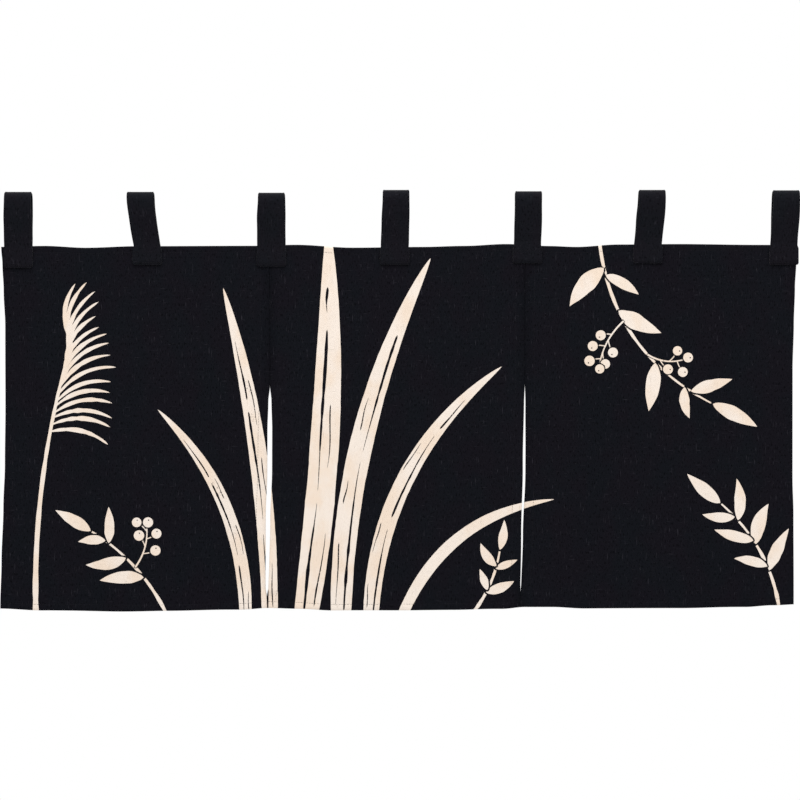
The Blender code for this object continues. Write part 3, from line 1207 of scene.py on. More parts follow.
def loop_edges(count: int, first: int) -> np.ndarray:
    """The edges of a closed ring of points, numbered from first."""
    at = np.arange(count)
    return np.stack([at, np.roll(at, -1)], axis=1) + first


def doubled_areas(flat: np.ndarray, faces: np.ndarray) -> np.ndarray:
    """Twice the area of each triangle, negative where it runs clockwise."""
    corners = flat[faces]
    return np.cross(corners[:, 1] - corners[:, 0], corners[:, 2] - corners[:, 0])


def trimmed(flat: np.ndarray, faces: np.ndarray) -> tuple[np.ndarray, np.ndarray]:
    """Drops the points that no triangle uses, and turns every triangle anticlockwise.

    Args:
        flat: The points.
        faces: The triangles.

    Returns:
        The points and the triangles.
    """
    used = np.unique(faces)
    renumber = np.full(len(flat), -1)
    renumber[used] = np.arange(len(used))
    flat, faces = flat[used], renumber[faces]
    clockwise = doubled_areas(flat, faces) < 0
    faces[clockwise] = faces[clockwise][:, ::-1]
    return flat, faces


def rim_chain(faces: np.ndarray) -> np.ndarray:
    """The point numbers round the rim of a flat mesh, in the order of its faces' corners.

    Args:
        faces: Its triangles.

    Returns:
        The point numbers.
    """
    ends = np.concatenate([faces[:, [0, 1]], faces[:, [1, 2]], faces[:, [2, 0]]])
    key = np.sort(ends, axis=1)
    _, index, count = np.unique(key, axis=0, return_inverse=True, return_counts=True)
    single = ends[count[index.reshape(-1)] == 1]
    after = dict(zip(single[:, 0].tolist(), single[:, 1].tolist()))
    chain = [int(single[0, 0])]
    while len(chain) < len(single):
        chain.append(after[chain[-1]])
    return np.array(chain)


@dataclass
class HangingLoop:
    """One band of cloth folded over the rod and sewn to both faces of the heading.

    Attributes:
        name: The piece's name.
        node: The solid that it stands for.
        foot_x: Its middle at the heading.
        top_x: Its middle at the top of the loop.
        top: The level of its top.
        crease: How far over the heading a soft crease crosses it.
        ease: Its extra half width in the lower part.
        sway: The shift of its middle in the lower part.
        lap: How far its ends lap the heading, front and back.
    """

    name: str
    node: str
    foot_x: float
    top_x: float
    top: float
    crease: float
    ease: float
    sway: float
    lap: float

    END_ROWS = (0.0, 0.25, 0.7, 1.4, 2.4)   # heights of the close rows at a sewn end
    FIRST_ROW, LAP_ROWS = 3.6, 14           # height of the first even row, and how many cross the lap
    LEG_ROWS = 26
    BEND_ROWS = 22
    ACROSS = 13
    CORNER = 2.4                            # radius of the corners at its ends
    TURNED_END, TURNED_RISE, TURNED_STEP = 6.0, 0.35, 0.8   # cloth turned in at its ends
    SEAM_IN = 2.6                           # from its sides to their seams
    END_SEAM = 2.6                          # from its ends to theirs
    SIDE_RISE, SIDE_RISE_FROM, SIDE_RISE_TO = 0.16, -0.6, 1.0   # the sides stand up beyond their seams
    SIDE_GROOVE, SIDE_GROOVE_WIDTH = 0.14, 0.9
    SIDE_WAVE, SIDE_WAVE_LENGTH, SIDE_WAVE_FADE = 0.12, 7.0, 8.0
    SIDE_ROUND = 0.08                       # how far the faces stay inside the sides
    SIDE_MAP = 1.05                         # a side's place across the cloth's map
    TOP_PINCH, PINCH_DEPTH = 0.9, 2.6       # it is narrower where it bends over the rod
    CREASE, CREASE_HEIGHT = 0.55, 3.2
    CREASE_SLANT = (0.6, 0.4)               # its share in the middle, and how much more at the right
    CREASE_FADE = (1.0, 6.0)                # heights over the heading where it may begin and is whole
    THREAD_SINK, END_THREAD_RISE = 0.06, 0.36
    THREAD_SPAN, THREAD_STEPS = 0.86, 14    # the seam across an end

    def section(self) -> np.ndarray:
        """The middle line of the band: y, z, the way it faces, and the distance from the nearer end.

        Returns:
            One row for each step along the band.
        """
        level = float(heading(self.foot_x))
        leg = (HEMMED + CLOTH) / 2 + GAP
        spread = LOOP_RADIUS - leg
        axis = self.top - CLOTH / 2 - LOOP_RADIUS
        even = np.linspace(self.FIRST_ROW, self.lap, self.LAP_ROWS)
        lap = level - self.lap + np.concatenate([self.END_ROWS, even])
        rise = np.linspace(level, axis, self.LEG_ROWS + 1)[1:-1]
        z = np.concatenate([lap, rise])
        t = np.clip((z - level) / (axis - level), 0.0, 1.0)
        y = -(leg + spread * smooth(level, axis, z))
        facing = math.pi + np.arctan(6.0 * t * (1.0 - t) * spread / (axis - level))
        legs = np.stack([y, z, facing, z - z[0]], axis=1)
        angle = np.linspace(math.pi, 0.0, self.BEND_ROWS + 1)
        bend = np.stack([LOOP_RADIUS * np.cos(angle), axis + LOOP_RADIUS * np.sin(angle), angle,
                         np.full(len(angle), axis - z[0])], axis=1)
        behind = legs[::-1] * (-1, 1, 1, 1)
        behind[:, 2] = math.pi - behind[:, 2]
        return np.concatenate([legs, bend, behind])

    def place(self, u: np.ndarray, row: np.ndarray, out: np.ndarray) -> np.ndarray:
        """Points of the band.

        Args:
            u: Places across it, from -1 to 1.
            row: One row of the section.
            out: How far each point stands out of the middle of the cloth.

        Returns:
            The points, in millimetres.
        """
        y, z, facing, end = row
        level = float(heading(self.foot_x))
        climb = min(max((z - level) / (self.top - level), 0.0), 1.0)
        lower = 1.0 - float(smooth(EASE_LOW, EASE_HIGH, z))
        lean = (self.top_x - self.foot_x) * math.sin(math.pi / 2 * climb)
        middle = self.foot_x + lean + self.sway * lower
        half = TAB_WIDTH / 2 + FOOT_FLARE * (1.0 - float(smooth(level - FLARE_FADE, level, z)))
        half += self.ease * lower * float(smooth(level - FLARE_FADE, level, z))
        wave = self.SIDE_WAVE * math.sin(z / self.SIDE_WAVE_LENGTH + self.foot_x)
        half += wave * float(smooth(level, level + self.SIDE_WAVE_FADE, z))
        half -= self.TOP_PINCH * float(smooth(self.top - self.PINCH_DEPTH, self.top, z))
        if end < self.CORNER:
            half -= self.CORNER - math.sqrt(self.CORNER**2 - (self.CORNER - end) ** 2)
        x = middle + u * half
        share = np.clip((heading(x) - z) / DROP, 0.0, 1.0)
        hang = (HEMMED / 2 + fold(x, share)) * (1.0 - float(smooth(level, self.top - LOOP_RADIUS, z)))
        buckle = self.CREASE * math.exp(-(((z - level - self.crease) / self.CREASE_HEIGHT) ** 2))
        buckle = buckle * (self.CREASE_SLANT[0] + self.CREASE_SLANT[1] * u) * math.copysign(1.0, y)
        buckle = buckle * float(smooth(level + self.CREASE_FADE[0], level + self.CREASE_FADE[1], z))
        depth = y + hang + out * math.cos(facing) + buckle
        return np.stack([x, depth, np.full(len(x), z + out * math.sin(facing))], axis=1)

    def ring(self, u: np.ndarray, row: np.ndarray) -> np.ndarray:
        """The points round the band at one row of the section: outer face, side, inner face, side.

        Args:
            u: Places across it, from -1 to 1.
            row: The row.

        Returns:
            The points, in millimetres.
        """
        face_u = u * (1.0 - self.SIDE_ROUND / (TAB_WIDTH / 2))
        edge = np.abs(u) * TAB_WIDTH / 2
        seam = TAB_WIDTH / 2 - self.SEAM_IN
        ridge = self.SIDE_RISE * smooth(seam + self.SIDE_RISE_FROM, seam + self.SIDE_RISE_TO, edge)
        ridge = ridge - self.SIDE_GROOVE * np.exp(-(((edge - seam) / self.SIDE_GROOVE_WIDTH) ** 2))
        beyond = smooth(self.TURNED_END - self.TURNED_STEP, self.TURNED_END + self.TURNED_STEP, row[3])
        turned = self.TURNED_RISE * (1.0 - float(beyond))
        outer = self.place(face_u, row, CLOTH / 2 + ridge + turned)
        inner = self.place(face_u[::-1], row, np.full(len(u), -CLOTH / 2))
        left, right = self.place(np.array([-1.0, 1.0]), row, np.zeros(2))
        return np.concatenate([outer, right[None], inner, left[None]])

    def build(self) -> bpy.types.Object:
        """Makes the loop as one closed band with rounded edges and turned-in ends.

        Returns:
            The loop's object.
        """
        u = np.linspace(-1.0, 1.0, self.ACROSS)
        across = np.concatenate([u, [self.SIDE_MAP], u[::-1], [-self.SIDE_MAP]]) * TAB_WIDTH / 2
        section = self.section()
        rings, flat, shades = [], [], []
        run, last = 0.0, section[0]
        for row in section:
            run += math.hypot(row[0] - last[0], row[1] - last[1])
            last = row
            rings.append(self.ring(u, row))
            flat.append(np.stack([across, np.full(len(across), run)], axis=1))
            # painted shade: the loop's end is darker towards its sewn edge, stored as seam
            shade = END_SHADE * (1.0 - float(smooth(0.0, END_SHADE_REACH, row[3])))
            shades.append(np.full(len(across), shade))
        made = mesh_object(self.name, np.concatenate(rings), tube_faces(len(across), len(rings)))
        face_out(made)
        made.data.set_sharp_from_angle(angle=SHARP_LOOP)
        add_numbers(made.data, "seam", "POINT", np.concatenate(shades))
        add_cloth_map(made.data, np.concatenate(flat) + (self.foot_x, 0.0))
        return made

    def stitch_lines(self) -> list[np.ndarray]:
        """The lines that the band is sewn along: its two sides, and across both ends.

        Returns:
            The lines' points.
        """
        section = self.section()
        seam = 1.0 - self.SEAM_IN / (TAB_WIDTH / 2)
        sides = section[len(self.END_ROWS):-len(self.END_ROWS)]
        lines = []
        for u in (-seam, seam):
            rows = [self.place(np.array([u]), row, CLOTH / 2 - self.THREAD_SINK)[0] for row in sides]
            lines.append(np.array(rows))
        u = np.linspace(-self.THREAD_SPAN, self.THREAD_SPAN, self.THREAD_STEPS)
        ends = [row for row in section if row[3] < self.lap]
        for target in (self.END_SEAM, self.lap - HEADING_HEM):
            lift = self.END_THREAD_RISE if target < self.TURNED_END else 0.0
            for face in Face:
                same = [row for row in ends if row[0] * face.value > 0]
                row = min(same, key=lambda r: abs(r[3] - target))
                lines.append(self.place(u, row, np.full(len(u), CLOTH / 2 + lift)))
        return lines


def tube_faces(ring: int, rings: int) -> list[list[int]]:
    """The faces between rings of points that follow each other, and a face on each end.

    Args:
        ring: The number of points in a ring.
        rings: The number of rings.

    Returns:
        The faces, as point numbers.
    """
    at = np.arange(ring)
    after = np.roll(at, -1)
    band = np.stack([at, after, after + ring, at + ring], axis=1)
    sides = [face for i in range(rings - 1) for face in (band + i * ring).tolist()]
    return [*sides, at[::-1].tolist(), (at + ring * (rings - 1)).tolist()]


def face_out(made: bpy.types.Object) -> None:
    """Turns a closed mesh's faces outward.

    Args:
        made: The mesh's object.
    """
    mesh = bmesh.new()
    mesh.from_mesh(made.data)
    bmesh.ops.recalc_face_normals(mesh, faces=mesh.faces)
    mesh.to_mesh(made.data)
    mesh.free()


# Node trees


class Sketch:
    """A node tree under construction."""

    def __init__(self, tree: bpy.types.NodeTree) -> None:
        """Starts on a tree."""
        self.tree = tree

    def feed(self, node: bpy.types.Node, inputs: dict) -> None:
        """Sets or links a node's inputs.

        Args:
            node: The node.
            inputs: Values or sockets for its inputs, by name or number.
        """
        for key, value in inputs.items():
            socket = node.inputs[key]
            if isinstance(value, bpy.types.NodeSocket):
                self.tree.links.new(value, socket)
            else:
                socket.default_value = value

    def add(self, kind: str, inputs: dict | None = None, **settings: object) -> bpy.types.Node:
        """Adds a node.

        Args:
            kind: The node's type.
            inputs: Values or sockets for its inputs, by name or number.
            settings: The node's own settings.

        Returns:
            The node.
        """
        node = self.tree.nodes.new(kind)
        for name, value in settings.items():
            setattr(node, name, value)
        self.feed(node, inputs or {})
        return node

    def math(self, operation: str, *values: object) -> bpy.types.NodeSocket:
        """Adds a Math node and returns its output."""
        return self.add("ShaderNodeMath", dict(enumerate(values)), operation=operation).outputs[0]

    def scaled(self, value: object, factor: float) -> bpy.types.NodeSocket:
        """Adds a Math node that multiplies by a number and returns its output."""
        return self.math("MULTIPLY", value, factor)

    def left(self, value: object) -> bpy.types.NodeSocket:
        """Adds a Math node that takes a share from 1 and returns its output."""
        return self.math("SUBTRACT", 1.0, value)

    def stored(self, name: str) -> bpy.types.NodeSocket:
        """Adds a node that reads a number stored on the mesh and returns its output."""
        return self.add("ShaderNodeAttribute", attribute_name=name).outputs["Fac"]

    def ramp(self, value: object, low: float, high: float, to: float = 1.0,
             start: float = 0.0) -> bpy.types.NodeSocket:
        """Adds a smooth Map Range node from start to a height and returns its output.

        Args:
            value: The socket to read.
            low: Its value where the rise starts.
            high: Its value where the rise ends.
            to: The height.
            start: The level before the rise.

        Returns:
            The output.
        """
        inputs = {"Value": value, "From Min": low, "From Max": high, "To Min": start, "To Max": to}
        node = self.add("ShaderNodeMapRange", inputs, interpolation_type="SMOOTHSTEP")
        return node.outputs["Result"]

    def noise(self, place: object, stretch: Sequence[float], detail: float = 1.0) -> bpy.types.NodeSocket:
        """Adds noise on stretched coordinates and returns its value.

        Args:
            place: The coordinates.
            stretch: The scale along each of them.
            detail: Its detail.

        Returns:
            The output.
        """
        moved = self.add("ShaderNodeVectorMath", {0: place, 1: stretch}, operation="MULTIPLY")
        inputs = {"Vector": moved.outputs[0], "Scale": 1.0, "Detail": detail, "Roughness": 0.55}
        return self.add("ShaderNodeTexNoise", inputs).outputs[0]

    def mix(self, share: object, first: object, second: object) -> bpy.types.NodeSocket:
        """Adds a colour Mix node and returns its colour."""
        return self.add("ShaderNodeMix", {0: share, 6: first, 7: second}, data_type="RGBA").outputs[2]


def new_material(name: str) -> tuple[bpy.types.Material, Sketch, bpy.types.Node]:
    """Starts a material and returns it with its tree's sketch and its shader.

    Args:
        name: The material's name.

    Returns:
        The material, the sketch and the shader.
    """
    material = bpy.data.materials.new(name)
    material.use_nodes = True
    return material, Sketch(material.node_tree), material.node_tree.nodes["Principled BSDF"]


def group_tree(name: str, kind: str, inputs: Sequence[tuple], outputs: Sequence[tuple]) -> Sketch:
    """Starts a node group with named sockets.

    Args:
        name: The group's name.
        kind: ShaderNodeTree or GeometryNodeTree.
        inputs: Name, socket type and default of each input.
        outputs: Name and socket type of each output.

    Returns:
        The group's sketch.
    """
    tree = bpy.data.node_groups.new(name, kind)
    for label, socket, default in inputs:
        made = tree.interface.new_socket(label, in_out="INPUT", socket_type=socket)
        if default is not None:
            made.default_value = default
    for label, socket in outputs:
        tree.interface.new_socket(label, in_out="OUTPUT", socket_type=socket)
    return Sketch(tree)


@dataclass(frozen=True)
class SlubWeave:
    """The coarse plain weave that all the cotton shares, as one shader group.

    Attributes:
        pitch: From one yarn to the next, in metres.
        sway: How far the yarns stray from straight lines, in metres.
        crossing: The weight of the yarns' crossings.
        weave_height: The weight of the even weave in the height.
        slub_height: The weight of the slubs in the height.
        fuzz_height: The weight of the fuzz in the height.
        weft_share: How strong the slubs of the weft are beside those of the warp.
    """

    pitch: float = 0.00100
    sway: float = 0.0007
    crossing: float = 0.45
    weave_height: float = 0.42
    slub_height: float = 0.85
    fuzz_height: float = 0.5
    weft_share: float = 0.8

    # Scales of the noise across, along and through the cloth, per metre
    SWAY_SCALE = 120.0
    WARP_SLUB = (800.0, 78.0, 1.0)
    WEFT_SLUB = (105.0, 1000.0, 1.0)
    FUZZ = (900.0, 700.0, 1.0)
    SPECK = (1500.0, 1300.0, 1.0)
    PIT = (900.0, 260.0, 1.0)
    TONE = (26.0, 17.0, 1.0)
    # Levels of the noise between which each of them comes up
    WARP_RANGE = (0.63, 0.75)
    WEFT_RANGE = (0.63, 0.78)
    SPECK_RANGE = (0.68, 0.80)
    PIT_RANGE = (0.45, 0.34)

    def build(self) -> bpy.types.NodeTree:
        """Makes the group.

        Returns:
            A tree with the outputs Height, Slub, Speck, Pit and Tone.
        """
        sketch = group_tree(
            "slub_weave", "ShaderNodeTree",
            [("Place", "NodeSocketVector", None), ("Pitch", "NodeSocketFloat", self.pitch)],
            [(label, "NodeSocketFloat") for label in ("Height", "Slub", "Speck", "Pit", "Tone")])
        source = sketch.add("NodeGroupInput")
        place = source.outputs["Place"]
        warp = sketch.ramp(sketch.noise(place, self.WARP_SLUB, 2.0), *self.WARP_RANGE)
        weft = sketch.ramp(sketch.noise(place, self.WEFT_SLUB, 2.0), *self.WEFT_RANGE, self.weft_share)
        slub = sketch.math("MAXIMUM", warp, weft)
        height = self.yarns(sketch, place, source.outputs["Pitch"])
        height = sketch.math("ADD", height, sketch.scaled(slub, self.slub_height))
        fuzz = sketch.noise(place, self.FUZZ, 3.0)
        height = sketch.math("ADD", height, sketch.scaled(fuzz, self.fuzz_height))
        sketch.add("NodeGroupOutput", {
            "Height": height,
            "Slub": slub,
            "Speck": sketch.ramp(sketch.noise(place, self.SPECK, 2.0), *self.SPECK_RANGE),
            "Pit": sketch.ramp(sketch.noise(place, self.PIT, 2.0), *self.PIT_RANGE),
            "Tone": sketch.noise(place, self.TONE, 4.0),
        })
        return sketch.tree

    def yarns(self, sketch: Sketch, place: bpy.types.NodeSocket,
              pitch: bpy.types.NodeSocket) -> bpy.types.NodeSocket:
        """The height of the even weave: the ridges of both yarns and their crossings.

        Args:
            sketch: The group's sketch.
            place: The cloth coordinates.
            pitch: The yarns' pitch.

        Returns:
            The height's socket.
        """
        noise = sketch.add("ShaderNodeTexNoise", {"Vector": place, "Scale": self.SWAY_SCALE, "Detail": 2.0})
        reach = (self.sway, self.sway, 0.0)
        swayed = sketch.add("ShaderNodeVectorMath", {0: noise.outputs["Color"], 1: reach, 2: place},
                            operation="MULTIPLY_ADD")
        parts = sketch.add("ShaderNodeSeparateXYZ", {0: swayed.outputs[0]})
        waves = []
        for axis in ("X", "Y"):
            turns = sketch.math("DIVIDE", parts.outputs[axis], pitch)
            waves.append(sketch.math("SINE", sketch.scaled(turns, math.pi)))
        ridges = sketch.math("ADD", *(sketch.math("ABSOLUTE", wave) for wave in waves))
        crossings = sketch.scaled(sketch.math("MULTIPLY", *waves), self.crossing)
        return sketch.scaled(sketch.math("ADD", ridges, crossings), self.weave_height)


@dataclass(frozen=True)
class CottonFinish:
    """Near-black cotton, with or without the cream print.

    Attributes:
        name: The material's name.
        black: The dyed cloth.
        cool: The same cloth where its dye looks cooler.
        slub: The dark cloth's slubs and light specks.
        cream: The print.
        peach: The print where it is a little warmer.
        valley: The print between the yarns, as painted shade in the weave's hollows.
        printed: Whether the cloth has the print.
        show_through: How much of the print shows on the reverse.
        sheen: The weight of the fuzz's sheen.
        roughness: The cloth's roughness.
        bump: The height of the weave, in metres.
    """

    name: str
    black: Colour = (0.0069, 0.0062, 0.0091, 1.0)
    cool: Colour = (0.0059, 0.0067, 0.0093, 1.0)
    slub: Colour = (0.036, 0.034, 0.043, 1.0)
    cream: Colour = (0.880, 0.778, 0.688, 1.0)
    peach: Colour = (0.850, 0.692, 0.552, 1.0)
    valley: Colour = (0.46, 0.33, 0.25, 1.0)
    printed: bool = True
    show_through: float = 0.07
    sheen: float = 0.015
    roughness: float = 0.93
    bump: float = 0.00022

    SPECULAR, SHEEN_ROUGHNESS = 0.03, 0.35
    COOL_RANGE = (0.35, 0.65)       # levels of the tone between which the dye turns cooler
    WARM_RANGE, WARM_MOST = (0.40, 0.62), 0.8
    PIT_SHARE, SEAM_SHARE = 0.6, 0.14       # how much a pit darkens the cloth, and how much the painted shade of the seams and loop ends does
    SLUB_SHARE, SPECK_SHARE = 0.62, 0.8     # how much a slub and a speck lighten it
    WARM_SLUB = 0.3                 # how much warmer the print is on a slub
    # painted shade: how much the print darkens in the weave's hollows, between these heights
    VALLEY_RANGE, VALLEY_SHARE = (0.2, 0.75), 0.12
    RAG_SCALE, RAG = (620.0, 620.0, 1.0), 0.9       # the print's ragged edge, and its reach in mm
    EDGE, SOFT_EDGE = 0.12, 2.2     # half the width of the print's edge in front and behind, in mm
    MISSED = 0.18                   # how much of the print a speck leaves out

    def build(self, weave: bpy.types.NodeTree) -> bpy.types.Material:
        """Makes the material.

        Args:
            weave: The shared weave group.

        Returns:
            The material.
        """
        material, sketch, shader = new_material(self.name)
        cloth = sketch.add("ShaderNodeUVMap", uv_map="cloth").outputs[0]
        cotton = sketch.add("ShaderNodeGroup", {"Place": cloth, "Pitch": SlubWeave.pitch}, node_tree=weave)
        colour = self.dark(sketch, cotton)
        if self.printed:
            colour = sketch.mix(self.ink(sketch, cotton, cloth), colour, self.dye(sketch, cotton))
        bump = {"Height": cotton.outputs["Height"], "Strength": 1.0, "Distance": self.bump}
        sketch.feed(shader, {
            "Base Color": colour,
            "Roughness": self.roughness,
            "Specular IOR Level": self.SPECULAR,
            "Sheen Weight": self.sheen,
            "Sheen Roughness": self.SHEEN_ROUGHNESS,
            "Normal": sketch.add("ShaderNodeBump", bump).outputs[0],
        })
        return material

    def dark(self, sketch: Sketch, cotton: bpy.types.Node) -> bpy.types.NodeSocket:
        """The cloth's colour: uneven dye, darker pits, lighter slubs and specks, and painted shade in the
        seams' valleys and at the loops' ends.

        Args:
            sketch: The material's sketch.
            cotton: The weave's node.

        Returns:
            The colour's socket.
        """
        dark = sketch.mix(sketch.ramp(cotton.outputs["Tone"], *self.COOL_RANGE), self.black, self.cool)
        dark = sketch.mix(sketch.scaled(cotton.outputs["Pit"], self.PIT_SHARE), dark, BLACK)
        # painted shade: darker in the sewn seams' valleys, under the loops' ends and on the loops' own ends
        dark = sketch.mix(sketch.scaled(sketch.stored("seam"), self.SEAM_SHARE), dark, BLACK)
        lint = sketch.scaled(cotton.outputs["Slub"], self.SLUB_SHARE)
        lint = sketch.math("ADD", lint, sketch.scaled(cotton.outputs["Speck"], self.SPECK_SHARE))
        return sketch.mix(sketch.math("MINIMUM", lint, 1.0), dark, self.slub)

    def dye(self, sketch: Sketch, cotton: bpy.types.Node) -> bpy.types.NodeSocket:
        """The print's colour, uneven in tone on coarse yarn, with painted shade where the weave is low.

        Args:
            sketch: The material's sketch.
            cotton: The weave's node.

        Returns:
            The colour's socket.
        """
        warm = sketch.ramp(cotton.outputs["Tone"], *self.WARM_RANGE, self.WARM_MOST)
        warm = sketch.math("ADD", warm, sketch.scaled(cotton.outputs["Slub"], self.WARM_SLUB))
        cream = sketch.mix(sketch.math("MINIMUM", warm, 1.0), self.cream, self.peach)
        # painted shade: the print is darker where the weave's height is low
        low = sketch.ramp(cotton.outputs["Height"], *self.VALLEY_RANGE, 0.0, self.VALLEY_SHARE)
        return sketch.mix(low, cream, self.valley)

    def ink(self, sketch: Sketch, cotton: bpy.types.Node,
            cloth: bpy.types.NodeSocket) -> bpy.types.NodeSocket:
        """How much of the print shows: crisp with a slightly ragged edge in front, faint behind.

        Args:
            sketch: The material's sketch.
            cotton: The weave's node.
            cloth: The cloth coordinates.

        Returns:
            The share's socket.
        """
        depth, reverse = sketch.stored("ink"), sketch.stored("reverse")
        ragged = sketch.math("SUBTRACT", sketch.noise(cloth, self.RAG_SCALE, 2.0), 0.5)
        ragged = sketch.math("ADD", depth, sketch.scaled(ragged, self.RAG))
        front = sketch.ramp(ragged, -self.EDGE, self.EDGE)
        missed = sketch.scaled(cotton.outputs["Speck"], self.MISSED)
        front = sketch.math("MULTIPLY", front, sketch.left(missed))
        behind = sketch.ramp(depth, -self.SOFT_EDGE, self.SOFT_EDGE, self.show_through)
        behind = sketch.math("MULTIPLY", behind, sketch.left(sketch.stored("hem")))
        share = sketch.math("MULTIPLY", sketch.left(reverse), front)
        return sketch.math("ADD", share, sketch.math("MULTIPLY", behind, reverse))


@dataclass(frozen=True)
class ThreadFinish:
    """Dark sewing thread with a fine twist.

    Attributes:
        name: The material's name.
        dark: The thread between its plies.
        light: The thread on them.
        twist: The scale of the twist, per metre.
        uneven: How uneven the twist is.
        roughness: The thread's roughness.
        specular: The strength of its highlights.
    """

    name: str = "sewing_thread"
    dark: Colour = (0.005, 0.005, 0.007, 1.0)
    light: Colour = (0.015, 0.014, 0.018, 1.0)
    twist: float = 900.0
    uneven: float = 2.0
    roughness: float = 0.75
    specular: float = 0.1

    def build(self) -> bpy.types.Material:
        """Makes the material.

        Returns:
            The material.
        """
        material, sketch, shader = new_material(self.name)
        place = sketch.add("ShaderNodeTexCoord").outputs["Object"]
        twist = sketch.add("ShaderNodeTexWave",
                           {"Vector": place, "Scale": self.twist, "Distortion": self.uneven},
                           bands_direction="DIAGONAL").outputs["Fac"]
        sketch.feed(shader, {
            "Base Color": sketch.mix(twist, self.dark, self.light),
            "Roughness": self.roughness,
            "Specular IOR Level": self.specular,
        })
        return material


@dataclass(frozen=True)
class Stitching:
    """Lines of machine stitches, set out along paths by Geometry Nodes.

    Attributes:
        pitch: From one stitch to the next, in millimetres.
        length: A stitch's length.
        radius: The thread's radius.
        wander: How far a stitch turns from its line, in radians.
        seed: The seed of that turn.
    """

    pitch: float = 2.9
    length: float = 2.5
    radius: float = 0.17
    wander: float = 0.09
    seed: int = 7

    INPUTS = (
        ("Geometry", "NodeSocketGeometry", None),
        ("Pitch", "NodeSocketFloat", 0.0029),
        ("Length", "NodeSocketFloat", 0.0025),
        ("Radius", "NodeSocketFloat", 0.0002),
        ("Wander", "NodeSocketFloat", 0.09),
        ("Seed", "NodeSocketInt", 7),
        ("Material", "NodeSocketMaterial", None),
    )

    def tree(self) -> bpy.types.NodeTree:
        """Makes the tree that lays a stitch at each step of every path.

        Returns:
            The tree.
        """
        sketch = group_tree("machine_stitches", "GeometryNodeTree", self.INPUTS,
                            [("Geometry", "NodeSocketGeometry")])
        source = sketch.add("NodeGroupInput").outputs
        path = sketch.add("GeometryNodeMeshToCurve", {"Mesh": source["Geometry"]})
        steps = sketch.add("GeometryNodeResampleCurve", {"Curve": path.outputs[0],
                                                         "Length": source["Pitch"]}, mode="LENGTH")
        bead = sketch.add("GeometryNodeMeshUVSphere", {"Segments": 6, "Rings": 5, "Radius": 1.0})
        half = sketch.math("MULTIPLY", source["Length"], 0.5)
        size = sketch.add("ShaderNodeCombineXYZ", {0: source["Radius"], 1: source["Radius"], 2: half})
        stitch = sketch.add("GeometryNodeTransform", {"Geometry": bead.outputs[0],
                                                      "Scale": size.outputs[0]})
        way = sketch.add("GeometryNodeInputTangent")
        aim = sketch.add("FunctionNodeAlignRotationToVector", {"Vector": way.outputs[0]}, axis="Z")
        least = sketch.math("MULTIPLY", source["Wander"], -1.0)
        low = sketch.add("ShaderNodeCombineXYZ", {0: least, 1: least}).outputs[0]
        high = sketch.add("ShaderNodeCombineXYZ", {0: source["Wander"], 1: source["Wander"]}).outputs[0]
        turn = sketch.add("FunctionNodeRandomValue", {0: low, 1: high, "Seed": source["Seed"]},
                          data_type="FLOAT_VECTOR")
        turned = sketch.add("FunctionNodeRotateRotation", {"Rotation": aim.outputs[0],
                                                           "Rotate By": turn.outputs[0]},
                            rotation_space="LOCAL")
        laid = sketch.add("GeometryNodeInstanceOnPoints", {"Points": steps.outputs[0],
                                                           "Instance": stitch.outputs[0],
                                                           "Rotation": turned.outputs[0]})
        real = sketch.add("GeometryNodeRealizeInstances", {"Geometry": laid.outputs[0]})
        round_ones = sketch.add("GeometryNodeSetShadeSmooth", {"Geometry": real.outputs[0]})
        dressed = sketch.add("GeometryNodeSetMaterial", {"Geometry": round_ones.outputs[0],
                                                         "Material": source["Material"]})
        sketch.add("NodeGroupOutput", {"Geometry": dressed.outputs[0]})
        return sketch.tree

    def build(self, name: str, lines: Sequence[np.ndarray], tree: bpy.types.NodeTree,
              thread: bpy.types.Material) -> bpy.types.Object:
        """Lays stitches along lines and turns them into one plain mesh.

        Args:
            name: The piece's name.
            lines: The paths, in millimetres.
            tree: The tree from tree().
            thread: The thread's material.

        Returns:
            The stitches' object.
        """
        data = bpy.data.meshes.new(f"{name}_paths")
        edges, first = [], 0
        for line in lines:
            edges += [(first + i, first + i + 1) for i in range(len(line) - 1)]
            first += len(line)
        data.from_pydata((np.concatenate(lines) * MM).tolist(), edges, [])
        paths = new_object(f"{name}_paths", data)
        modifier = paths.modifiers.new("stitches", "NODES")
        modifier.node_group = tree
        values = {"Pitch": self.pitch * MM, "Length": self.length * MM, "Radius": self.radius * MM,
                  "Wander": self.wander, "Seed": self.seed, "Material": thread}
        for item in tree.interface.items_tree:
            if item.item_type == "SOCKET" and item.in_out == "INPUT" and item.name in values:
                modifier[item.identifier] = values[item.name]
        graph = bpy.context.evaluated_depsgraph_get()
        graph.update()
        mesh = bpy.data.meshes.new_from_object(paths.evaluated_get(graph), depsgraph=graph)
        mesh.name = name
        made = new_object(name, mesh)
        bpy.data.objects.remove(paths)
        return made


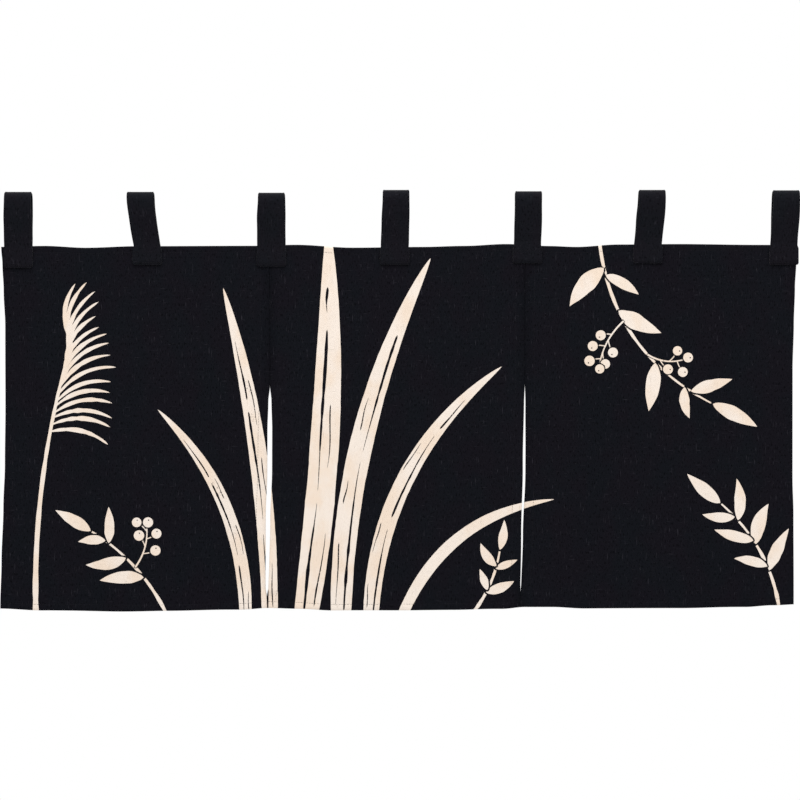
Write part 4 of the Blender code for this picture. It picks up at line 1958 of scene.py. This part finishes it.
@dataclass(frozen=True)
class Studio:
    """A pale floor, soft light and the camera square to the curtain's printed face.

    Attributes:
        view_width: The width that the camera sees at the curtain, in metres.
        distance: From the camera to the curtain.
        aim: The point that the camera looks at.
        sensor: The width of the camera's sensor, in millimetres.
        floor_level: The floor's height.
        floor_reach: Half the floor's width.
        floor_colour: The floor's colour.
        ambient: The strength of the light from all sides. The camera itself sees a ground of strength 1.
    """

    view_width: float = 0.856
    distance: float = 3.6
    aim: tuple[float, float, float] = (0.0012, 0.0, -0.2118)
    sensor: float = 36.0
    floor_level: float = -1.8
    floor_reach: float = 8.0
    floor_colour: Colour = (0.86, 0.86, 0.86, 1.0)
    ambient: float = 0.76

    # Name, place, width and power of each light
    LIGHTS = (
        ("key", (-0.9, -2.2, 1.3), 1.6, 13.0),
        ("fill", (1.4, -2.0, 0.3), 1.8, 7.0),
        ("overhead", (0.0, -0.35, 1.5), 1.8, 26.0),
    )

    def camera(self) -> None:
        """Adds the camera and makes it the scene's."""
        data = bpy.data.cameras.new("camera")
        data.sensor_width = self.sensor
        data.lens = self.sensor * self.distance / self.view_width
        data.clip_end = 50.0
        made = new_object("camera", data)
        made.location = (self.aim[0], self.aim[1] - self.distance, self.aim[2])
        made.rotation_euler = (math.pi / 2, 0.0, 0.0)
        bpy.context.scene.camera = made

    def light(self, name: str, place: Sequence[float], size: float, power: float) -> None:
        """Adds a soft square light that faces the curtain.

        Args:
            name: Its name.
            place: Where it stands.
            size: Its width.
            power: Its power.
        """
        data = bpy.data.lights.new(name, "AREA")
        data.size = size
        data.energy = power
        made = new_object(name, data)
        made.location = place
        made.rotation_euler = (Vector(self.aim) - Vector(place)).to_track_quat("-Z", "Y").to_euler()

    def world(self) -> None:
        """Lights the scene evenly from all sides, on a white ground."""
        world = bpy.data.worlds.new("white_studio")
        bpy.context.scene.world = world
        world.use_nodes = True
        sketch = Sketch(world.node_tree)
        ray = sketch.add("ShaderNodeLightPath").outputs["Is Camera Ray"]
        strength = sketch.ramp(ray, 0.0, 1.0, 1.0, self.ambient)
        sketch.feed(world.node_tree.nodes["Background"], {"Color": WHITE, "Strength": strength})

    def floor(self) -> None:
        """Lays a pale floor well below the curtain."""
        corners = np.array([(-1, -1), (1, -1), (1, 1), (-1, 1)]) * self.floor_reach / MM
        points = np.column_stack([corners, np.full(4, self.floor_level / MM)])
        made = mesh_object("floor", points, [(0, 1, 2, 3)])
        material, sketch, shader = new_material("pale_floor")
        sketch.feed(shader, {"Base Color": self.floor_colour, "Roughness": 0.9})
        made.data.materials.append(material)

    def build(self) -> None:
        """Sets up the whole studio."""
        self.world()
        self.floor()
        for light in self.LIGHTS:
            self.light(*light)
        self.camera()
        bpy.context.scene.view_settings.view_transform = "Standard"


@dataclass
class Curtain:
    """The whole curtain: three panels, seven loops and their stitching.

    Attributes:
        panels: The panels from left to right.
        loops: The hanging loops from left to right.
        band_length: The length that a loop's band was cut to, in millimetres.
        print_cotton: The panels' finish.
        plain_cotton: The loops' finish, a little lighter and without the print.
        thread: The finish of all stitches.
        stitching: How the seams are sewn.
    """

    panels: tuple[Panel, ...] = (
        Panel("cloth_left", "panel_left", Edge(LEFT_EDGE), Edge(LEFT_SEAM, LEFT_SLIT, -1.0),
              (297.0, 401.0)),
        Panel("cloth_centre", "panel_centre", Edge(LEFT_SEAM, LEFT_SLIT, 1.0),
              Edge(RIGHT_SEAM, RIGHT_SLIT, -1.0), (292.0, 401.0)),
        Panel("cloth_right", "panel_right", Edge(RIGHT_SEAM, RIGHT_SLIT, 1.0), Edge(RIGHT_EDGE),
              (301.0, 401.0)),
    )
    loops: tuple[HangingLoop, ...] = tuple(HangingLoop(*row) for row in LOOPS)
    band_length: float = 184.0
    print_cotton: CottonFinish = CottonFinish("printed_cotton")
    plain_cotton: CottonFinish = CottonFinish(
        "plain_cotton", black=(0.0078, 0.0070, 0.0100, 1.0), cool=(0.0068, 0.0076, 0.0102, 1.0),
        printed=False, sheen=0.12)
    thread: ThreadFinish = ThreadFinish()
    stitching: Stitching = Stitching()

    def build(self) -> None:
        """Makes and dresses every piece, and sews its stitches."""
        weave = SlubWeave().build()
        printed = self.print_cotton.build(weave)
        plain = self.plain_cotton.build(weave)
        thread = self.thread.build()
        tree = self.stitching.tree()
        drawing = PlantPrint()
        drawing.draw()
        LOG.info("print: %d shapes", len(drawing.motifs))
        for loop in self.loops:
            made = loop.build()
            self.dress(made, plain, loop.node)
            seams = self.sew(loop, tree, thread)
            LOG.info("%s: %d faces", loop.name, len(made.data.polygons))
        for panel in self.panels:
            made = panel.build(drawing)
            self.dress(made, printed, panel.node)
            seams = self.sew(panel, tree, thread)
            self.carriers(panel)
            LOG.info("%s: %d faces", panel.name, len(made.data.polygons))

    def sew(self, piece: Panel | HangingLoop, tree: bpy.types.NodeTree,
            thread: bpy.types.Material) -> bpy.types.Object:
        """Makes a piece's stitches and puts them on its body.

        Args:
            piece: The panel or loop.
            tree: The stitches' tree.
            thread: The thread's material.

        Returns:
            The stitches' object.
        """
        seams = self.stitching.build(f"{piece.name}_stitches", piece.stitch_lines(), tree, thread)
        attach(seams, "root")
        return seams

    def carriers(self, panel: Panel) -> list[str]:
        """The names of the loops that are sewn to a panel, wholly or over its seam.

        Args:
            panel: The panel.

        Returns:
            The names from left to right.
        """
        low = float(panel.left.at(0.0)) - TAB_WIDTH / 2
        high = float(panel.right.at(0.0)) + TAB_WIDTH / 2
        return [loop.name for loop in self.loops if low < loop.foot_x < high]

    def dress(self, made: bpy.types.Object, material: bpy.types.Material, node: str) -> None:
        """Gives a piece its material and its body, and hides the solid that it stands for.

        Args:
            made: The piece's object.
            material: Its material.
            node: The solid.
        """
        made.data.materials.append(material)
        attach(made, "root")
        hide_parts(node)


def main() -> None:
    """Builds the curtain and the studio round the frame."""
    logging.basicConfig(level=logging.INFO, format="%(name)s: %(message)s")
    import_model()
    Curtain().build()
    Studio().build()


if __name__ == "__main__":
    main()
